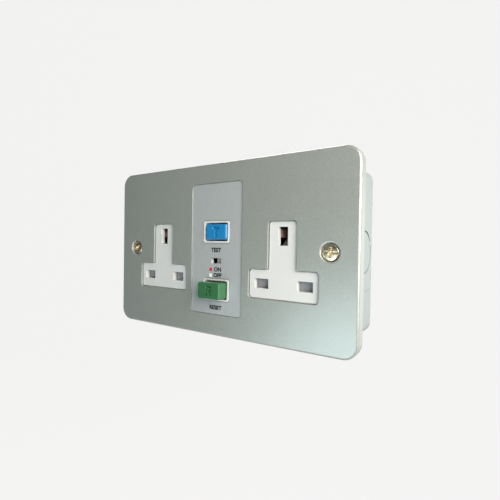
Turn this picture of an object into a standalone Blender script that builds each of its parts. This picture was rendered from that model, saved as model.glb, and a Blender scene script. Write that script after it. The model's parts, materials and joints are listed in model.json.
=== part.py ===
"""Surface-mounted metal-clad twin 13 A socket outlet with a built-in residual-current device.

Metres, +Z up. The origin is the centre of the back box's wall face. The front faces -Y.
Depths are measured from the front plate's face towards the wall.
"""

import math

import bmesh
import bpy
from mathutils import Matrix, Vector

# Running clearance between pieces that touch or slide
GAP = 0.0003
# How far united shapes run into each other, and cutters past a face
EMBED = 0.0003
OVERRUN = 0.001

# Front plate and back box
OVERALL_DEPTH = 0.047
PLATE_WIDTH = 0.146
PLATE_HEIGHT = 0.088
PLATE_CORNER = 0.007
PLATE_STEEL = 0.0015
PLATE_RIM = 0.0058
PLATE_EDGE = 0.0018
PLATE_ROLL = 0.0005
SIDE_OVERHANG = 0.007
TOP_OVERHANG = 0.0028
BOX_STEEL = 0.0012
BOX_CORNER = 0.005
BOX_EDGE = 0.002
KNOCKOUT_RADIUS = 0.010
KNOCKOUT_GROOVE = 0.0005
KNOCKOUT_SPREAD = 0.033
WALL_HOLE_RADIUS = 0.0024
WALL_HOLE_SIDE_INSET = 0.0185
WALL_HOLE_TOP_INSET = 0.0192

# Plate screws, their dimples and the lugs that they go into
SCREW_INSET = 0.0127
SCREW_HEAD_RADIUS = 0.0037
SCREW_HEAD_HEIGHT = 0.0015
SCREW_RECESS = 0.0007
SCREW_RADIUS = 0.00175
SCREW_LENGTH = 0.016
SCREW_SLOT_WIDTH = 0.0010
SCREW_SLOT_DEPTH = 0.0008
SCREW_CROSS_WIDTH = 0.0008
SCREW_CROSS_REACH = 0.0021
SCREW_CROSS_DEPTH = 0.0011
DIMPLE_CLEARANCE = 0.0004
DIMPLE_SLOPE = 0.0010
BULGE_FLARE = 0.0006
LUG_HEIGHT = 0.012
LUG_STEEL = 0.0016
LUG_REACH = 0.0058
LUG_CORNER = 0.002
LUG_CLEARANCE = 0.0005

# T-shaped socket faces and their pin slots
PANEL_TO_TEE = 0.0042
TEE_LEG = 0.0140
TEE_FOOT = 0.0350
TEE_TOP = 0.0135
TEE_SHOULDER = -0.0088
TEE_BOTTOM = -0.0222
TEE_CORNER = 0.0016
TEE_INNER_CORNER = 0.0010
TEE_RECESS = 0.0011
TEE_GAP = 0.0004
PIN_ROW = -0.01534
PIN_SPREAD = 0.0111
EARTH_RISE = 0.0222
PIN_SLOT_WIDTH = 0.0074
PIN_SLOT_HEIGHT = 0.0046
EARTH_SLOT_WIDTH = 0.0048
EARTH_SLOT_HEIGHT = 0.0086
SLOT_CORNER = 0.0002

# Silver centre panel and its window
PANEL_WIDTH = 0.0324
PANEL_HEIGHT = 0.0674
PANEL_CENTRE = 0.0004
PANEL_CORNER = 0.0022
PANEL_RECESS = 0.0005
PANEL_THICKNESS = 0.0004
WINDOW_WIDTH = 0.0065
WINDOW_HEIGHT = 0.0028
WINDOW_CORNER = 0.0003
WINDOW_CENTRE = -0.0057

# Buttons, their collars and guides
BUTTON_WIDTH = 0.0136
BUTTON_HEIGHT = 0.0082
BUTTON_CORNER = 0.0010
BUTTON_WALL = 0.0012
BUTTON_SIDE_CLEARANCE = 0.0005
BUTTON_TOP_CLEARANCE = 0.00055
OPENING_CORNER = 0.0008
COLLAR_WALL = 0.0009
COLLAR_PROUD = 0.0003
COLLAR_CORNER = 0.0011
GUIDE_DEPTH = 0.010
LIP_HEIGHT = 0.001
LIP_OVERHANG = 0.0007
LIP_RISE = 0.0002
BEVEL_STEPS = 3
CAP_STEM_RADIUS = 0.0022
TEST_CENTRE = 0.0090
TEST_PROUD = 0.0002
TEST_TRAVEL = 0.0020
TEST_BEVEL = 0.0008
TEST_STEM_OFFSET = 0.0036
TEST_STEM_RADIUS = 0.0014
TEST_STEM_LENGTH = 0.0056
TEST_SPRING_RADIUS = 0.0017
RESET_CENTRE = -0.0205
RESET_PROUD = 0.0057
RESET_TRAVEL = 0.0052
RESET_BEVEL = 0.0004
RESET_SPRING_RADIUS = 0.0023

# Front and rear mouldings
MODULE_SIDE_ROOM = 0.0075
MODULE_TOP_ROOM = 0.0050
MODULE_CORNER = 0.002
NOTCH_HALF_HEIGHT = 0.0076
NOTCH_DEPTH = 0.0037
FLANGE_THICKNESS = 0.0017
SKIRT_INSET = 0.0008
SKIRT_WALL = 0.0018
SKIRT_BACK = 0.013
DIVIDER_CLEARANCE = 0.0007
DIVIDER_WALL = 0.0014
RIB = 0.0009
FLOOR_DEPTH = 0.026
FLOOR_THICKNESS = 0.002
BOSS_SIDE_INSET = 0.0073
BOSS_TOP_INSET = 0.0043
BOSS_RADIUS = 0.0030
MODULE_SCREW_RADIUS = 0.0013
MODULE_SCREW_HEAD = 0.0027
MODULE_SCREW_LENGTH = 0.021
MODULE_SCREW_SLOT = (0.0018, 0.0003)
TOWER_ROOM = 0.0006
TOWER_WALL = 0.0010
TOWER_CORNER = 0.0006
EARTH_TOWER_ROOM = 0.0004
EARTH_TOWER_DEPTH = 0.0115

# Shutters
SHUTTER_THICKNESS = 0.0018
SHUTTER_BLADE = 0.0052
SHUTTER_REACH = 0.0156
SHUTTER_STEM = 0.0044
SHUTTER_TRAVEL = 0.0050
SHUTTER_COVER = 0.00035
RAMP_HALF_WIDTH = 0.0018
RAMP_NOSE_HALF_WIDTH = 0.0009
SHUTTER_CORNER = 0.0004
SHUTTER_INNER_CORNER = 0.0008
RAMP_RISE = 0.0031
RAMP_LIP = 0.0012
SHUTTER_SPRING_RADIUS = 0.0017
SHUTTER_SPRING_LENGTH = 0.0120
LEDGE_HALF_WIDTH = 0.0026
LEDGE_THICKNESS = 0.0015
SEAT_HALF_WIDTH = 0.0030

# Bars, contacts and terminals
BAR_STEEL = 0.0011
LEAF_STEEL = 0.0006
CLIP_WIDTH = 0.0055
CLIP_FRONT = 0.0095
CLIP_WAIST = 0.0025
PIN_PINCH = 0.00205
CLIP_FLARE = 0.0008
STRAP_HEIGHT = 0.0030
STRAP_CLEARANCE = 0.0005
LIVE_BAR_STAND = 0.0040
EARTH_STRAP_LOW = 0.014
EARTH_STRAP_HIGH = 0.017
EARTH_CLIP_FRONT = 0.0044
EARTH_CLIP_WAIST = 0.0036
EARTH_CLIP_LOW = 0.0064
EARTH_CLIP_HIGH = 0.0102
EARTH_TANG_HALF_WIDTH = 0.0020
EARTH_TANG_HALF_HEIGHT = 0.0006
TANG_HALF_HEIGHT = 0.0005
TANG_CLEARANCE = 0.0003
BAR_POST = 0.0035
CONTACT_SPREAD = 0.009
CONTACT_WIDTH = 0.005
CONTACT_STAND = 0.0038
MOVING_HALF_HEIGHT = 0.0036
FIXED_HALF_HEIGHT = 0.0030
FIXED_STEEL = 0.0010
MOVING_STEEL = 0.0008
CARRIAGE_MARGIN = 0.0010
CARRIAGE_HALF_HEIGHT = 0.0050
CARRIAGE_EDGE = 0.0004
CAM_ARM_CLEARANCE = 0.0005
RIVET_RADIUS = 0.0016
RIVET_TIP_RADIUS = 0.0013
RIVET_HEIGHT = 0.0006
TERMINAL_WIDTH = 0.008
TERMINAL_LENGTH = 0.0072
BOX_EARTH_LENGTH = 0.0056
BOX_EARTH_INSET = 0.0102
TERMINAL_HEIGHT = 0.009
TERMINAL_BORE = 0.0021
TERMINAL_WALL = 0.0008
TERMINAL_BARRIER = 0.0012
TERMINAL_SCREW_RADIUS = 0.00175
TERMINAL_SCREW_HEAD = 0.0027
SCREW_CROWN = 0.0016
TERMINAL_SLOT = 0.0008

# Flag and its cam
FLAG_TRAVEL = 0.0067
FLAG_LEFT = -0.0011
FLAG_RIGHT = 0.0100
FLAG_HEIGHT = 0.0044
FLAG_THICKNESS = 0.0010
WINDOW_WALL = 0.0028
CAM_PIN_PLACE = 0.0009
CAM_PIN_REACH = 0.0028
CAM_PIN_RADIUS = 0.0006
CAM_ARM_HALF_WIDTH = 0.0015
FLAG_TAIL_THICKNESS = 0.0012
FLAG_TAIL_MARGIN = 0.0013

# Trip coil, plunger and latch
COIL_CENTRE = 0.0006
COIL_STAND = 0.0058
COIL_LEFT = -0.0125
COIL_RIGHT = 0.0025
COIL_RADIUS = 0.0040
BOBBIN_RADIUS = 0.0026
BOBBIN_FLANGE = 0.0010
FLANGE_PROUD = 0.0002
PLUNGER_RADIUS = 0.0017
PLUNGER_HEAD = 0.0026
PLUNGER_NECK = 0.0012
HEAD_DISC = 0.0008
GROOVE_CLEARANCE = 0.0005
PLUNGER_TRAVEL = 0.0020
PLUNGER_AIR_GAP = 0.0030
FRAME_STEEL = 0.0012
LATCH_PLACE = 0.0104
LATCH_PIVOT_HEIGHT = -0.0070
LATCH_WIDTH = 0.0012
LATCH_THICKNESS = 0.0016
LATCH_HOOK_REACH = 0.0018
LATCH_HOOK_HEIGHT = 0.0011
LATCH_ARM_CLEARANCE = 0.0004
LATCH_HUB_WALL = 0.0010
LATCH_PIN_RADIUS = 0.0010

# Circuit board and what it carries
BOARD_STAND = 0.0036
BOARD_THICKNESS = 0.0016
BOARD_HALF_WIDTH = 0.0142
BOARD_LOW = 0.0056
BOARD_CLEARANCE = 0.0004
BOARD_CORNER = 0.0010
COMPONENT_EDGE = 0.0003
POST_SIDE_INSET = 0.0024
POST_END_INSET = 0.0030
POST_RADIUS = 0.0018
TOROID_RADIUS = 0.0074
TOROID_BORE = 0.0032
TOROID_LENGTH = 0.0075
TOROID_ROLL = 0.0012
LEAD_SPREAD = 0.0015
LEAD_RADIUS = 0.0011
LEAD_REACH = 0.0025
BLADE_LEFT = 0.0020
BLADE_BEND = 0.0065
BLADE_RIGHT = 0.0100
BLADE_STEEL = 0.0005
BLADE_HALF_HEIGHT = 0.0010
RESISTOR_INSET = 0.0030
RESISTOR_RADIUS = 0.0012
RESISTOR_LENGTH = 0.0070
CAPACITOR_INSET = 0.0030
CAPACITOR_RISE = 0.0109
CAPACITOR_RADIUS = 0.0022
CAPACITOR_HEIGHT = 0.0045

# Springs
SPRING_WIRE = 0.0005
SPRING_POINTS = 8

# Sizes that follow from the ones above
FACE_Y = -OVERALL_DEPTH
BOX_WIDTH = PLATE_WIDTH - 2 * SIDE_OVERHANG
BOX_HEIGHT = PLATE_HEIGHT - 2 * TOP_OVERHANG
BOX_FRONT = PLATE_STEEL + GAP
BOX_MIDDLE = (BOX_FRONT + OVERALL_DEPTH) / 2
DIMPLE_DEPTH = SCREW_RECESS + SCREW_HEAD_HEIGHT + GAP
DIMPLE_RADIUS = SCREW_HEAD_RADIUS + DIMPLE_CLEARANCE
LUG_DEPTH = DIMPLE_DEPTH + PLATE_STEEL + GAP
SCREW_PLACE = PLATE_WIDTH / 2 - SCREW_INSET
SCREW_CENTRES = (-SCREW_PLACE, SCREW_PLACE)
WALL_HOLE_SPREAD = BOX_WIDTH / 2 - WALL_HOLE_SIDE_INSET
WALL_HOLE_RISE = BOX_HEIGHT / 2 - WALL_HOLE_TOP_INSET
MODULE_HALF_WIDTH = BOX_WIDTH / 2 - BOX_STEEL - MODULE_SIDE_ROOM
MODULE_HALF_HEIGHT = BOX_HEIGHT / 2 - BOX_STEEL - MODULE_TOP_ROOM
BOSS_SPREAD = MODULE_HALF_WIDTH - BOSS_SIDE_INSET
BOSS_RISE = MODULE_HALF_HEIGHT - BOSS_TOP_INSET
DIVIDER_PLACE = PANEL_WIDTH / 2 + DIVIDER_CLEARANCE
SOCKET_SPREAD = PANEL_WIDTH / 2 + PANEL_TO_TEE + TEE_FOOT / 2
SOCKET_CENTRES = (-SOCKET_SPREAD, SOCKET_SPREAD)
EARTH_PIN = PIN_ROW + EARTH_RISE
FLANGE_FRONT = PLATE_STEEL + GAP
FLANGE_BACK = FLANGE_FRONT + FLANGE_THICKNESS
PANEL_SEAT = PANEL_RECESS + PANEL_THICKNESS + GAP
OPENING_WIDTH = BUTTON_WIDTH + 2 * BUTTON_SIDE_CLEARANCE
OPENING_HEIGHT = BUTTON_HEIGHT + 2 * BUTTON_TOP_CLEARANCE
COLLAR_WIDTH = OPENING_WIDTH + 2 * COLLAR_WALL
COLLAR_HEIGHT = OPENING_HEIGHT + 2 * COLLAR_WALL
COLLAR_FRONT = PANEL_RECESS - COLLAR_PROUD
LIP_FRONT = GUIDE_DEPTH + GAP
LIP_BACK = LIP_FRONT + LIP_HEIGHT
LIP_WIDTH = OPENING_WIDTH + 2 * LIP_OVERHANG
REAR_FRONT = SKIRT_BACK + GAP
REAR_BACK = FLOOR_DEPTH + FLOOR_THICKNESS
SHUTTER_FRONT = FLANGE_BACK + GAP
SHUTTER_BACK = SHUTTER_FRONT + SHUTTER_THICKNESS
SHUTTER_TOP = PIN_ROW + PIN_SLOT_HEIGHT / 2 + SHUTTER_COVER
SHUTTER_BOTTOM = SHUTTER_TOP - SHUTTER_BLADE
STEM_TOP = EARTH_PIN - EARTH_SLOT_HEIGHT / 2 - SHUTTER_COVER
LEDGE_BACK = SHUTTER_BACK + 0.0037
SHUTTER_SPRING_DEPTH = LEDGE_BACK - SHUTTER_SPRING_RADIUS - GAP
SHUTTER_SEAT = SHUTTER_BOTTOM - SHUTTER_SPRING_LENGTH - 2 * GAP
TOWER_FRONT = SHUTTER_BACK + GAP
STRAP_HIGH = RESET_CENTRE - FIXED_HALF_HEIGHT - STRAP_CLEARANCE
STRAP_LOW = STRAP_HIGH - STRAP_HEIGHT
LIVE_BAR_DEPTH = FLOOR_DEPTH - LIVE_BAR_STAND
NEUTRAL_BAR_DEPTH = FLOOR_DEPTH - GAP - BAR_STEEL
TEST_STEM_TIP = LIP_BACK + TEST_STEM_LENGTH
TEST_BLADE_DEPTH = TEST_STEM_TIP + TEST_TRAVEL + GAP
CARRIAGE_FRONT = LIP_BACK + GAP
CAM_PIN_DEPTH = CARRIAGE_FRONT - CAM_PIN_REACH
CONTACT_MEET = FLOOR_DEPTH - CONTACT_STAND
MOVING_TIP = CONTACT_MEET - GAP - RESET_TRAVEL
MOVING_PLATE = MOVING_TIP - RIVET_HEIGHT
CARRIAGE_BACK = MOVING_PLATE - MOVING_STEEL - GAP
CARRIAGE_HALF_WIDTH = CONTACT_SPREAD + CONTACT_WIDTH / 2 + CARRIAGE_MARGIN
FLAG_FRONT = WINDOW_WALL + GAP
FLAG_BACK = FLAG_FRONT + FLAG_THICKNESS
TERMINAL_FRONT = REAR_BACK + GAP
TERMINAL_BACK = TERMINAL_FRONT + TERMINAL_LENGTH
COIL_DEPTH = FLOOR_DEPTH - COIL_STAND
FRAME_RIGHT = COIL_RIGHT + GAP + FRAME_STEEL
HEAD_INNER = LATCH_PLACE - LATCH_WIDTH / 2 - GROOVE_CLEARANCE
HEAD_OUTER = LATCH_PLACE + LATCH_WIDTH / 2 + GROOVE_CLEARANCE
BOARD_DEPTH = FLOOR_DEPTH - BOARD_STAND
BOARD_HIGH = MODULE_HALF_HEIGHT - SKIRT_INSET - SKIRT_WALL - BOARD_CLEARANCE
TOROID_CENTRE = BOARD_HIGH - TOROID_RADIUS - GAP
BOARD_BACK = BOARD_DEPTH + BOARD_THICKNESS
BOARD_SEAT = BOARD_DEPTH - GAP

# Colours with roughness and metallic value
FINISHES = {
    "plate_paint": ((0.30, 0.33, 0.30), 0.42, 0.35),
    "box_paint": ((0.62, 0.68, 0.64), 0.45, 0.10),
    "white_moulding": ((0.80, 0.80, 0.77), 0.35, 0.0),
    "rear_moulding": ((0.70, 0.70, 0.66), 0.50, 0.0),
    "silver_panel": ((0.42, 0.43, 0.45), 0.40, 0.30),
    "blue_cap": ((0.02, 0.23, 0.52), 0.32, 0.0),
    "green_cap": ((0.04, 0.22, 0.06), 0.34, 0.0),
    "grey_shutter": ((0.36, 0.35, 0.41), 0.45, 0.0),
    "flag_white": ((0.55, 0.54, 0.52), 0.50, 0.0),
    "brass": ((0.72, 0.56, 0.30), 0.28, 1.0),
    "copper_strip": ((0.78, 0.45, 0.33), 0.32, 1.0),
    "spring_steel": ((0.55, 0.56, 0.58), 0.30, 1.0),
    "plated_steel": ((0.60, 0.60, 0.58), 0.35, 1.0),
    "copper_wire": ((0.60, 0.22, 0.08), 0.35, 1.0),
    "board_green": ((0.03, 0.16, 0.07), 0.45, 0.0),
    "coil_core": ((0.10, 0.10, 0.11), 0.50, 0.0),
    "resistor_body": ((0.55, 0.42, 0.25), 0.50, 0.0),
}

PARTS = "rcd_wall_socket"
CUTTERS = "rcd_wall_socket_cutters"


def clear_scene():
    for old in list(bpy.data.objects):
        bpy.data.objects.remove(old, do_unlink=True)


def make_collections():
    for name in (PARTS, CUTTERS):
        bpy.context.scene.collection.children.link(bpy.data.collections.new(name))


def finish_material(name):
    """The material of this finish, made the first time that it is asked for."""
    paint = bpy.data.materials.get(name)
    if paint is None:
        colour, roughness, metallic = FINISHES[name]
        paint = bpy.data.materials.new(name)
        paint.use_nodes = True
        shader = paint.node_tree.nodes["Principled BSDF"]
        shader.inputs["Base Color"].default_value = (*colour, 1.0)
        shader.inputs["Roughness"].default_value = roughness
        shader.inputs["Metallic"].default_value = metallic
        paint.diffuse_color = (*colour, 1.0)
    return paint


def place(across, depth, height):
    """A point at this depth behind the front plate's face."""
    return Vector((across, FACE_Y + depth, height))


# Shapes, each a mesh in world coordinates


def mesh_from(bm):
    bmesh.ops.recalc_face_normals(bm, faces=bm.faces)
    mesh = bpy.data.meshes.new("shape")
    bm.to_mesh(mesh)
    bm.free()
    return mesh


def brick(across, depth, height):
    """A box between three pairs of limits."""
    low = place(across[0], depth[0], height[0])
    high = place(across[1], depth[1], height[1])
    bm = bmesh.new()
    bmesh.ops.create_cube(bm, size=1.0)
    bmesh.ops.scale(bm, vec=high - low, verts=bm.verts)
    bmesh.ops.translate(bm, vec=(low + high) / 2, verts=bm.verts)
    return mesh_from(bm)


def rod(start, end, radius, end_radius=None, sides=20):
    """A cylinder or a cone between two points."""
    start = place(*start)
    end = place(*end)
    turn = Vector((0, 0, 1)).rotation_difference(end - start).to_matrix().to_4x4()
    bm = bmesh.new()
    bmesh.ops.create_cone(
        bm,
        cap_ends=True,
        segments=sides,
        radius1=radius,
        radius2=radius if end_radius is None else end_radius,
        depth=(end - start).length,
        matrix=Matrix.Translation((start + end) / 2) @ turn,
    )
    return mesh_from(bm)


def evaluated_mesh(obj):
    """A copy of the object's mesh with its modifiers applied, and the object removed."""
    bpy.context.view_layer.update()
    graph = bpy.context.evaluated_depsgraph_get()
    mesh = bpy.data.meshes.new_from_object(obj.evaluated_get(graph))
    mesh.transform(obj.matrix_world)
    bpy.data.objects.remove(obj, do_unlink=True)
    bm = bmesh.new()
    bm.from_mesh(mesh)
    bmesh.ops.remove_doubles(bm, verts=bm.verts, dist=2e-6)
    bpy.data.meshes.remove(mesh)
    return mesh_from(bm)


def extruded(outlines, low, high, turn):
    """Closed flat outlines, the later ones holes in the first, extruded between two levels."""
    curve = bpy.data.curves.new("outline", "CURVE")
    curve.dimensions = "2D"
    curve.fill_mode = "BOTH"
    curve.extrude = (high - low) / 2
    for outline in outlines:
        spline = curve.splines.new("POLY")
        spline.points.add(len(outline) - 1)
        for knot, (first, second) in zip(spline.points, outline):
            knot.co = (first, second, 0.0, 1.0)
        spline.use_cyclic_u = True
    guide = bpy.data.objects.new("outline", curve)
    bpy.context.scene.collection.objects.link(guide)
    guide.matrix_world = turn @ Matrix.Translation((0, 0, (low + high) / 2))
    return evaluated_mesh(guide)


def slab(outlines, depth):
    """Outlines of (across, height), extruded through a range of depths."""
    turn = Matrix(((1, 0, 0, 0), (0, 0, -1, 0), (0, 1, 0, 0), (0, 0, 0, 1)))
    return extruded(outlines, -FACE_Y - depth[1], -FACE_Y - depth[0], turn)


def web(outlines, across):
    """Outlines of (depth, height), extruded across."""
    turn = Matrix(((0, 0, 1, 0), (1, 0, 0, FACE_Y), (0, 1, 0, 0), (0, 0, 0, 1)))
    return extruded(outlines, across[0], across[1], turn)


def shelf(outlines, height):
    """Outlines of (across, depth), extruded upwards."""
    turn = Matrix(((1, 0, 0, 0), (0, 1, 0, FACE_Y), (0, 0, 1, 0), (0, 0, 0, 1)))
    return extruded(outlines, height[0], height[1], turn)


def lofted(rings):
    """A solid through rings of (depth, outline), whose outlines have equally many points."""
    bm = bmesh.new()
    loops = [[bm.verts.new(place(x, depth, z)) for x, z in outline] for depth, outline in rings]
    for near, far in zip(loops, loops[1:]):
        for index in range(len(near)):
            bm.faces.new((near[index - 1], near[index], far[index], far[index - 1]))
    bm.faces.new(loops[0])
    bm.faces.new(loops[-1])
    return mesh_from(bm)


def turned(profile, start, end, sides=24):
    """A closed profile of (radius, distance from start) turned about the line from start to end."""
    start = place(*start)
    end = place(*end)
    bm = bmesh.new()
    verts = [bm.verts.new((radius, 0.0, along)) for radius, along in profile]
    for first, second in zip(verts, verts[1:] + verts[:1]):
        bm.edges.new((first, second))
    mesh = bpy.data.meshes.new("profile")
    bm.to_mesh(mesh)
    bm.free()
    guide = bpy.data.objects.new("profile", mesh)
    bpy.context.scene.collection.objects.link(guide)
    screw = guide.modifiers.new("turn", "SCREW")
    screw.axis = "Z"
    screw.steps = sides
    screw.render_steps = sides
    screw.use_merge_vertices = True
    screw.merge_threshold = 0.00001
    turn = Vector((0, 0, 1)).rotation_difference(end - start).to_matrix().to_4x4()
    guide.matrix_world = Matrix.Translation(start) @ turn
    return evaluated_mesh(guide)


# Outlines


def circle(centre, radius, sides=20):
    angles = [2 * math.pi * step / sides for step in range(sides)]
    return [(centre[0] + radius * math.cos(a), centre[1] + radius * math.sin(a)) for a in angles]


def filleted(corners, steps=3):
    """A polygon whose corners, each (first, second, radius), are rounded by arcs."""
    outline = []
    count = len(corners)
    for index, (first, second, radius) in enumerate(corners):
        corner = Vector((first, second))
        before = (Vector(corners[index - 1][:2]) - corner).normalized()
        after = (Vector(corners[(index + 1) % count][:2]) - corner).normalized()
        half = before.angle(after) / 2
        centre = corner + (before + after).normalized() * radius / math.sin(half)
        start = corner + before * radius / math.tan(half) - centre
        end = corner + after * radius / math.tan(half) - centre
        sweep = start.angle_signed(end)
        for step in range(steps + 1):
            spoke = start.copy()
            spoke.rotate(Matrix.Rotation(-sweep * step / steps, 2))
            outline.append(tuple(centre + spoke))
    return outline


def rounded(width, height, radius, centre=(0.0, 0.0), steps=3):
    left, right = centre[0] - width / 2, centre[0] + width / 2
    low, high = centre[1] - height / 2, centre[1] + height / 2
    corners = [(left, low), (right, low), (right, high), (left, high)]
    return filleted([(*corner, radius) for corner in corners], steps)


def tee(centre, grow=0.0):
    """The T outline of a socket face, grown all round by this much."""
    leg = TEE_LEG / 2 + grow
    foot = TEE_FOOT / 2 + grow
    top = TEE_TOP + grow
    shoulder = TEE_SHOULDER + grow
    bottom = TEE_BOTTOM - grow
    outer = TEE_CORNER + grow
    inner = TEE_INNER_CORNER - grow
    corners = [
        (-foot, bottom, outer),
        (foot, bottom, outer),
        (foot, shoulder, outer),
        (leg, shoulder, inner),
        (leg, top, outer),
        (-leg, top, outer),
        (-leg, shoulder, inner),
        (-foot, shoulder, outer),
    ]
    return filleted([(centre + across, height, radius) for across, height, radius in corners])


def module_outline(inset):
    """The mouldings' outline, notched on each side for the back box's screw lugs."""
    side = MODULE_HALF_WIDTH - inset
    top = MODULE_HALF_HEIGHT - inset
    notch = MODULE_HALF_WIDTH - NOTCH_DEPTH - inset
    lug = NOTCH_HALF_HEIGHT + inset
    radius = MODULE_CORNER
    small = MODULE_CORNER / 4
    return filleted(
        [
            (-side, -top, radius),
            (side, -top, radius),
            (side, -lug, small),
            (notch, -lug, small),
            (notch, lug, small),
            (side, lug, small),
            (side, top, radius),
            (-side, top, radius),
            (-side, lug, small),
            (-notch, lug, small),
            (-notch, -lug, small),
            (-side, -lug, small),
        ],
        steps=2,
    )


# Objects


def joined(shapes):
    bm = bmesh.new()
    for shape in shapes:
        bm.from_mesh(shape)
        bpy.data.meshes.remove(shape)
    return bm


def piece(name, shapes, paint, at=(0.0, 0.0, 0.0)):
    """A named part made of these shapes, with its origin at a point given as place() takes it."""
    origin = place(*at)
    bm = joined(shapes)
    bmesh.ops.translate(bm, vec=-origin, verts=bm.verts)
    mesh = bpy.data.meshes.new(name)
    bm.to_mesh(mesh)
    bm.free()
    obj = bpy.data.objects.new(name, mesh)
    obj.location = origin
    mesh.materials.append(finish_material(paint))
    bpy.data.collections[PARTS].objects.link(obj)
    return obj


def tool(name, shapes):
    """A hidden object that a Boolean modifier uses."""
    bm = joined(shapes)
    mesh = bpy.data.meshes.new(name)
    bm.to_mesh(mesh)
    bm.free()
    obj = bpy.data.objects.new(name, mesh)
    obj.hide_render = True
    obj.display_type = "WIRE"
    bpy.data.collections[CUTTERS].objects.link(obj)
    return obj


def boolean(obj, label, shapes, operation):
    modifier = obj.modifiers.new(label, "BOOLEAN")
    modifier.operation = operation
    modifier.solver = "EXACT"
    modifier.object = tool(f"{obj.name}_{label}", shapes)


def add(obj, label, *shapes):
    boolean(obj, label, shapes, "UNION")


def cut(obj, label, *shapes):
    boolean(obj, label, shapes, "DIFFERENCE")


def soften(obj, width, segments=2, angle=50):
    """Rounds the edges that are sharper than this angle."""
    bevel = obj.modifiers.new("soften", "BEVEL")
    bevel.width = width
    bevel.segments = segments
    bevel.limit_method = "ANGLE"
    bevel.angle_limit = math.radians(angle)


def smooth(obj, angle=40):
    obj.data.shade_smooth()
    obj.data.set_sharp_from_angle(angle=math.radians(angle))


def joint_empty(name, at, children):
    """An empty on a joint's axis that carries the pieces that move together."""
    empty = bpy.data.objects.new(name, None)
    empty.location = place(*at)
    bpy.data.collections[PARTS].objects.link(empty)
    bpy.context.view_layer.update()
    for child in children:
        child.parent = empty
        child.matrix_parent_inverse = empty.matrix_world.inverted()


def coil_spring(name, start, end, radius, turns):
    """A compression spring between two points, with a closed flat turn at each end."""
    start = place(*start)
    end = place(*end)
    length = (end - start).length
    turn = Vector((0, 0, 1)).rotation_difference(end - start)
    flat = SPRING_WIRE / 2
    rise = length - 2 * flat
    count = turns * SPRING_POINTS
    curve = bpy.data.curves.new(name, "CURVE")
    curve.dimensions = "3D"
    curve.bevel_depth = SPRING_WIRE / 2
    curve.bevel_resolution = 1
    curve.use_fill_caps = True
    spline = curve.splines.new("POLY")
    spline.points.add(count)
    for index, knot in enumerate(spline.points):
        angle = 2 * math.pi * index / SPRING_POINTS
        turned_by = index / SPRING_POINTS
        share = min(max((turned_by - 0.8) / (turns - 1.6), 0.0), 1.0)
        lift = SPRING_WIRE * 0.55 * min(turned_by, 0.8) / 0.8
        lift += SPRING_WIRE * 0.55 * max(turned_by - turns + 0.8, 0.0) / 0.8
        along = flat + lift + (rise - SPRING_WIRE * 1.1) * share
        point = Vector((radius * math.cos(angle), radius * math.sin(angle), along))
        knot.co = (*(start + turn @ point), 1.0)
    obj = bpy.data.objects.new(name, curve)
    curve.materials.append(finish_material("spring_steel"))
    bpy.data.collections[PARTS].objects.link(obj)
    return obj


def open_shell(name, width, height, depth, corner, edge, steel, paint, opens_back):
    """A pressed pan with rounded corners, open at the back or at the front."""
    bm = bmesh.new()
    bmesh.ops.create_cube(bm, size=1.0)
    bmesh.ops.scale(bm, vec=(width, depth[1] - depth[0], height), verts=bm.verts)
    bmesh.ops.translate(bm, vec=place(0, (depth[0] + depth[1]) / 2, 0), verts=bm.verts)
    posts = [e for e in bm.edges if abs((e.verts[0].co - e.verts[1].co).y) > width / 1000]
    bmesh.ops.bevel(bm, geom=posts, offset=corner, segments=5, profile=0.5, affect="EDGES")
    bm.faces.ensure_lookup_table()
    side = 1 if opens_back else -1
    lid = max(bm.faces, key=lambda face: side * face.calc_center_median().y)
    floor = max(bm.faces, key=lambda face: -side * face.calc_center_median().y)
    rim = list(floor.edges)
    bmesh.ops.delete(bm, geom=[lid], context="FACES_ONLY")
    bmesh.ops.bevel(bm, geom=rim, offset=edge, segments=3, profile=0.5, affect="EDGES")
    obj = piece(name, [mesh_from(bm)], paint)
    wall = obj.modifiers.new("steel", "SOLIDIFY")
    wall.thickness = steel
    wall.offset = -1
    wall.use_even_offset = True
    smooth(obj)
    return obj


# Casing


def make_front_plate():
    plate = open_shell(
        "front_plate",
        PLATE_WIDTH,
        PLATE_HEIGHT,
        (0.0, PLATE_RIM),
        PLATE_CORNER,
        PLATE_EDGE,
        PLATE_STEEL,
        "plate_paint",
        opens_back=True,
    )
    bulge = DIMPLE_RADIUS + PLATE_STEEL
    back = DIMPLE_DEPTH + PLATE_STEEL
    wide = bulge + BULGE_FLARE
    add(plate, "bulges", *[rod((x, PLATE_STEEL / 2, 0), (x, back, 0), wide, bulge) for x in SCREW_CENTRES])
    through = (-OVERRUN, PLATE_STEEL + OVERRUN)
    for side, x in zip(("left", "right"), SOCKET_CENTRES):
        cut(plate, f"aperture_{side}", slab([tee(x, TEE_GAP)], through))
    panel = rounded(
        PANEL_WIDTH + 2 * GAP, PANEL_HEIGHT + 2 * GAP, PANEL_CORNER + GAP, (0, PANEL_CENTRE)
    )
    cut(plate, "panel_aperture", slab([panel], through))
    slope = DIMPLE_SLOPE / DIMPLE_DEPTH
    mouth = DIMPLE_RADIUS + DIMPLE_SLOPE + OVERRUN * slope
    dimples = [rod((x, -OVERRUN, 0), (x, DIMPLE_DEPTH, 0), mouth, DIMPLE_RADIUS) for x in SCREW_CENTRES]
    cut(plate, "dimples", *dimples)
    hole = SCREW_RADIUS + GAP
    holes = [rod((x, DIMPLE_DEPTH / 2, 0), (x, back + OVERRUN, 0), hole) for x in SCREW_CENTRES]
    cut(plate, "screw_holes", *holes)
    soften(plate, PLATE_ROLL, segments=1, angle=60)
    return plate


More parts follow.
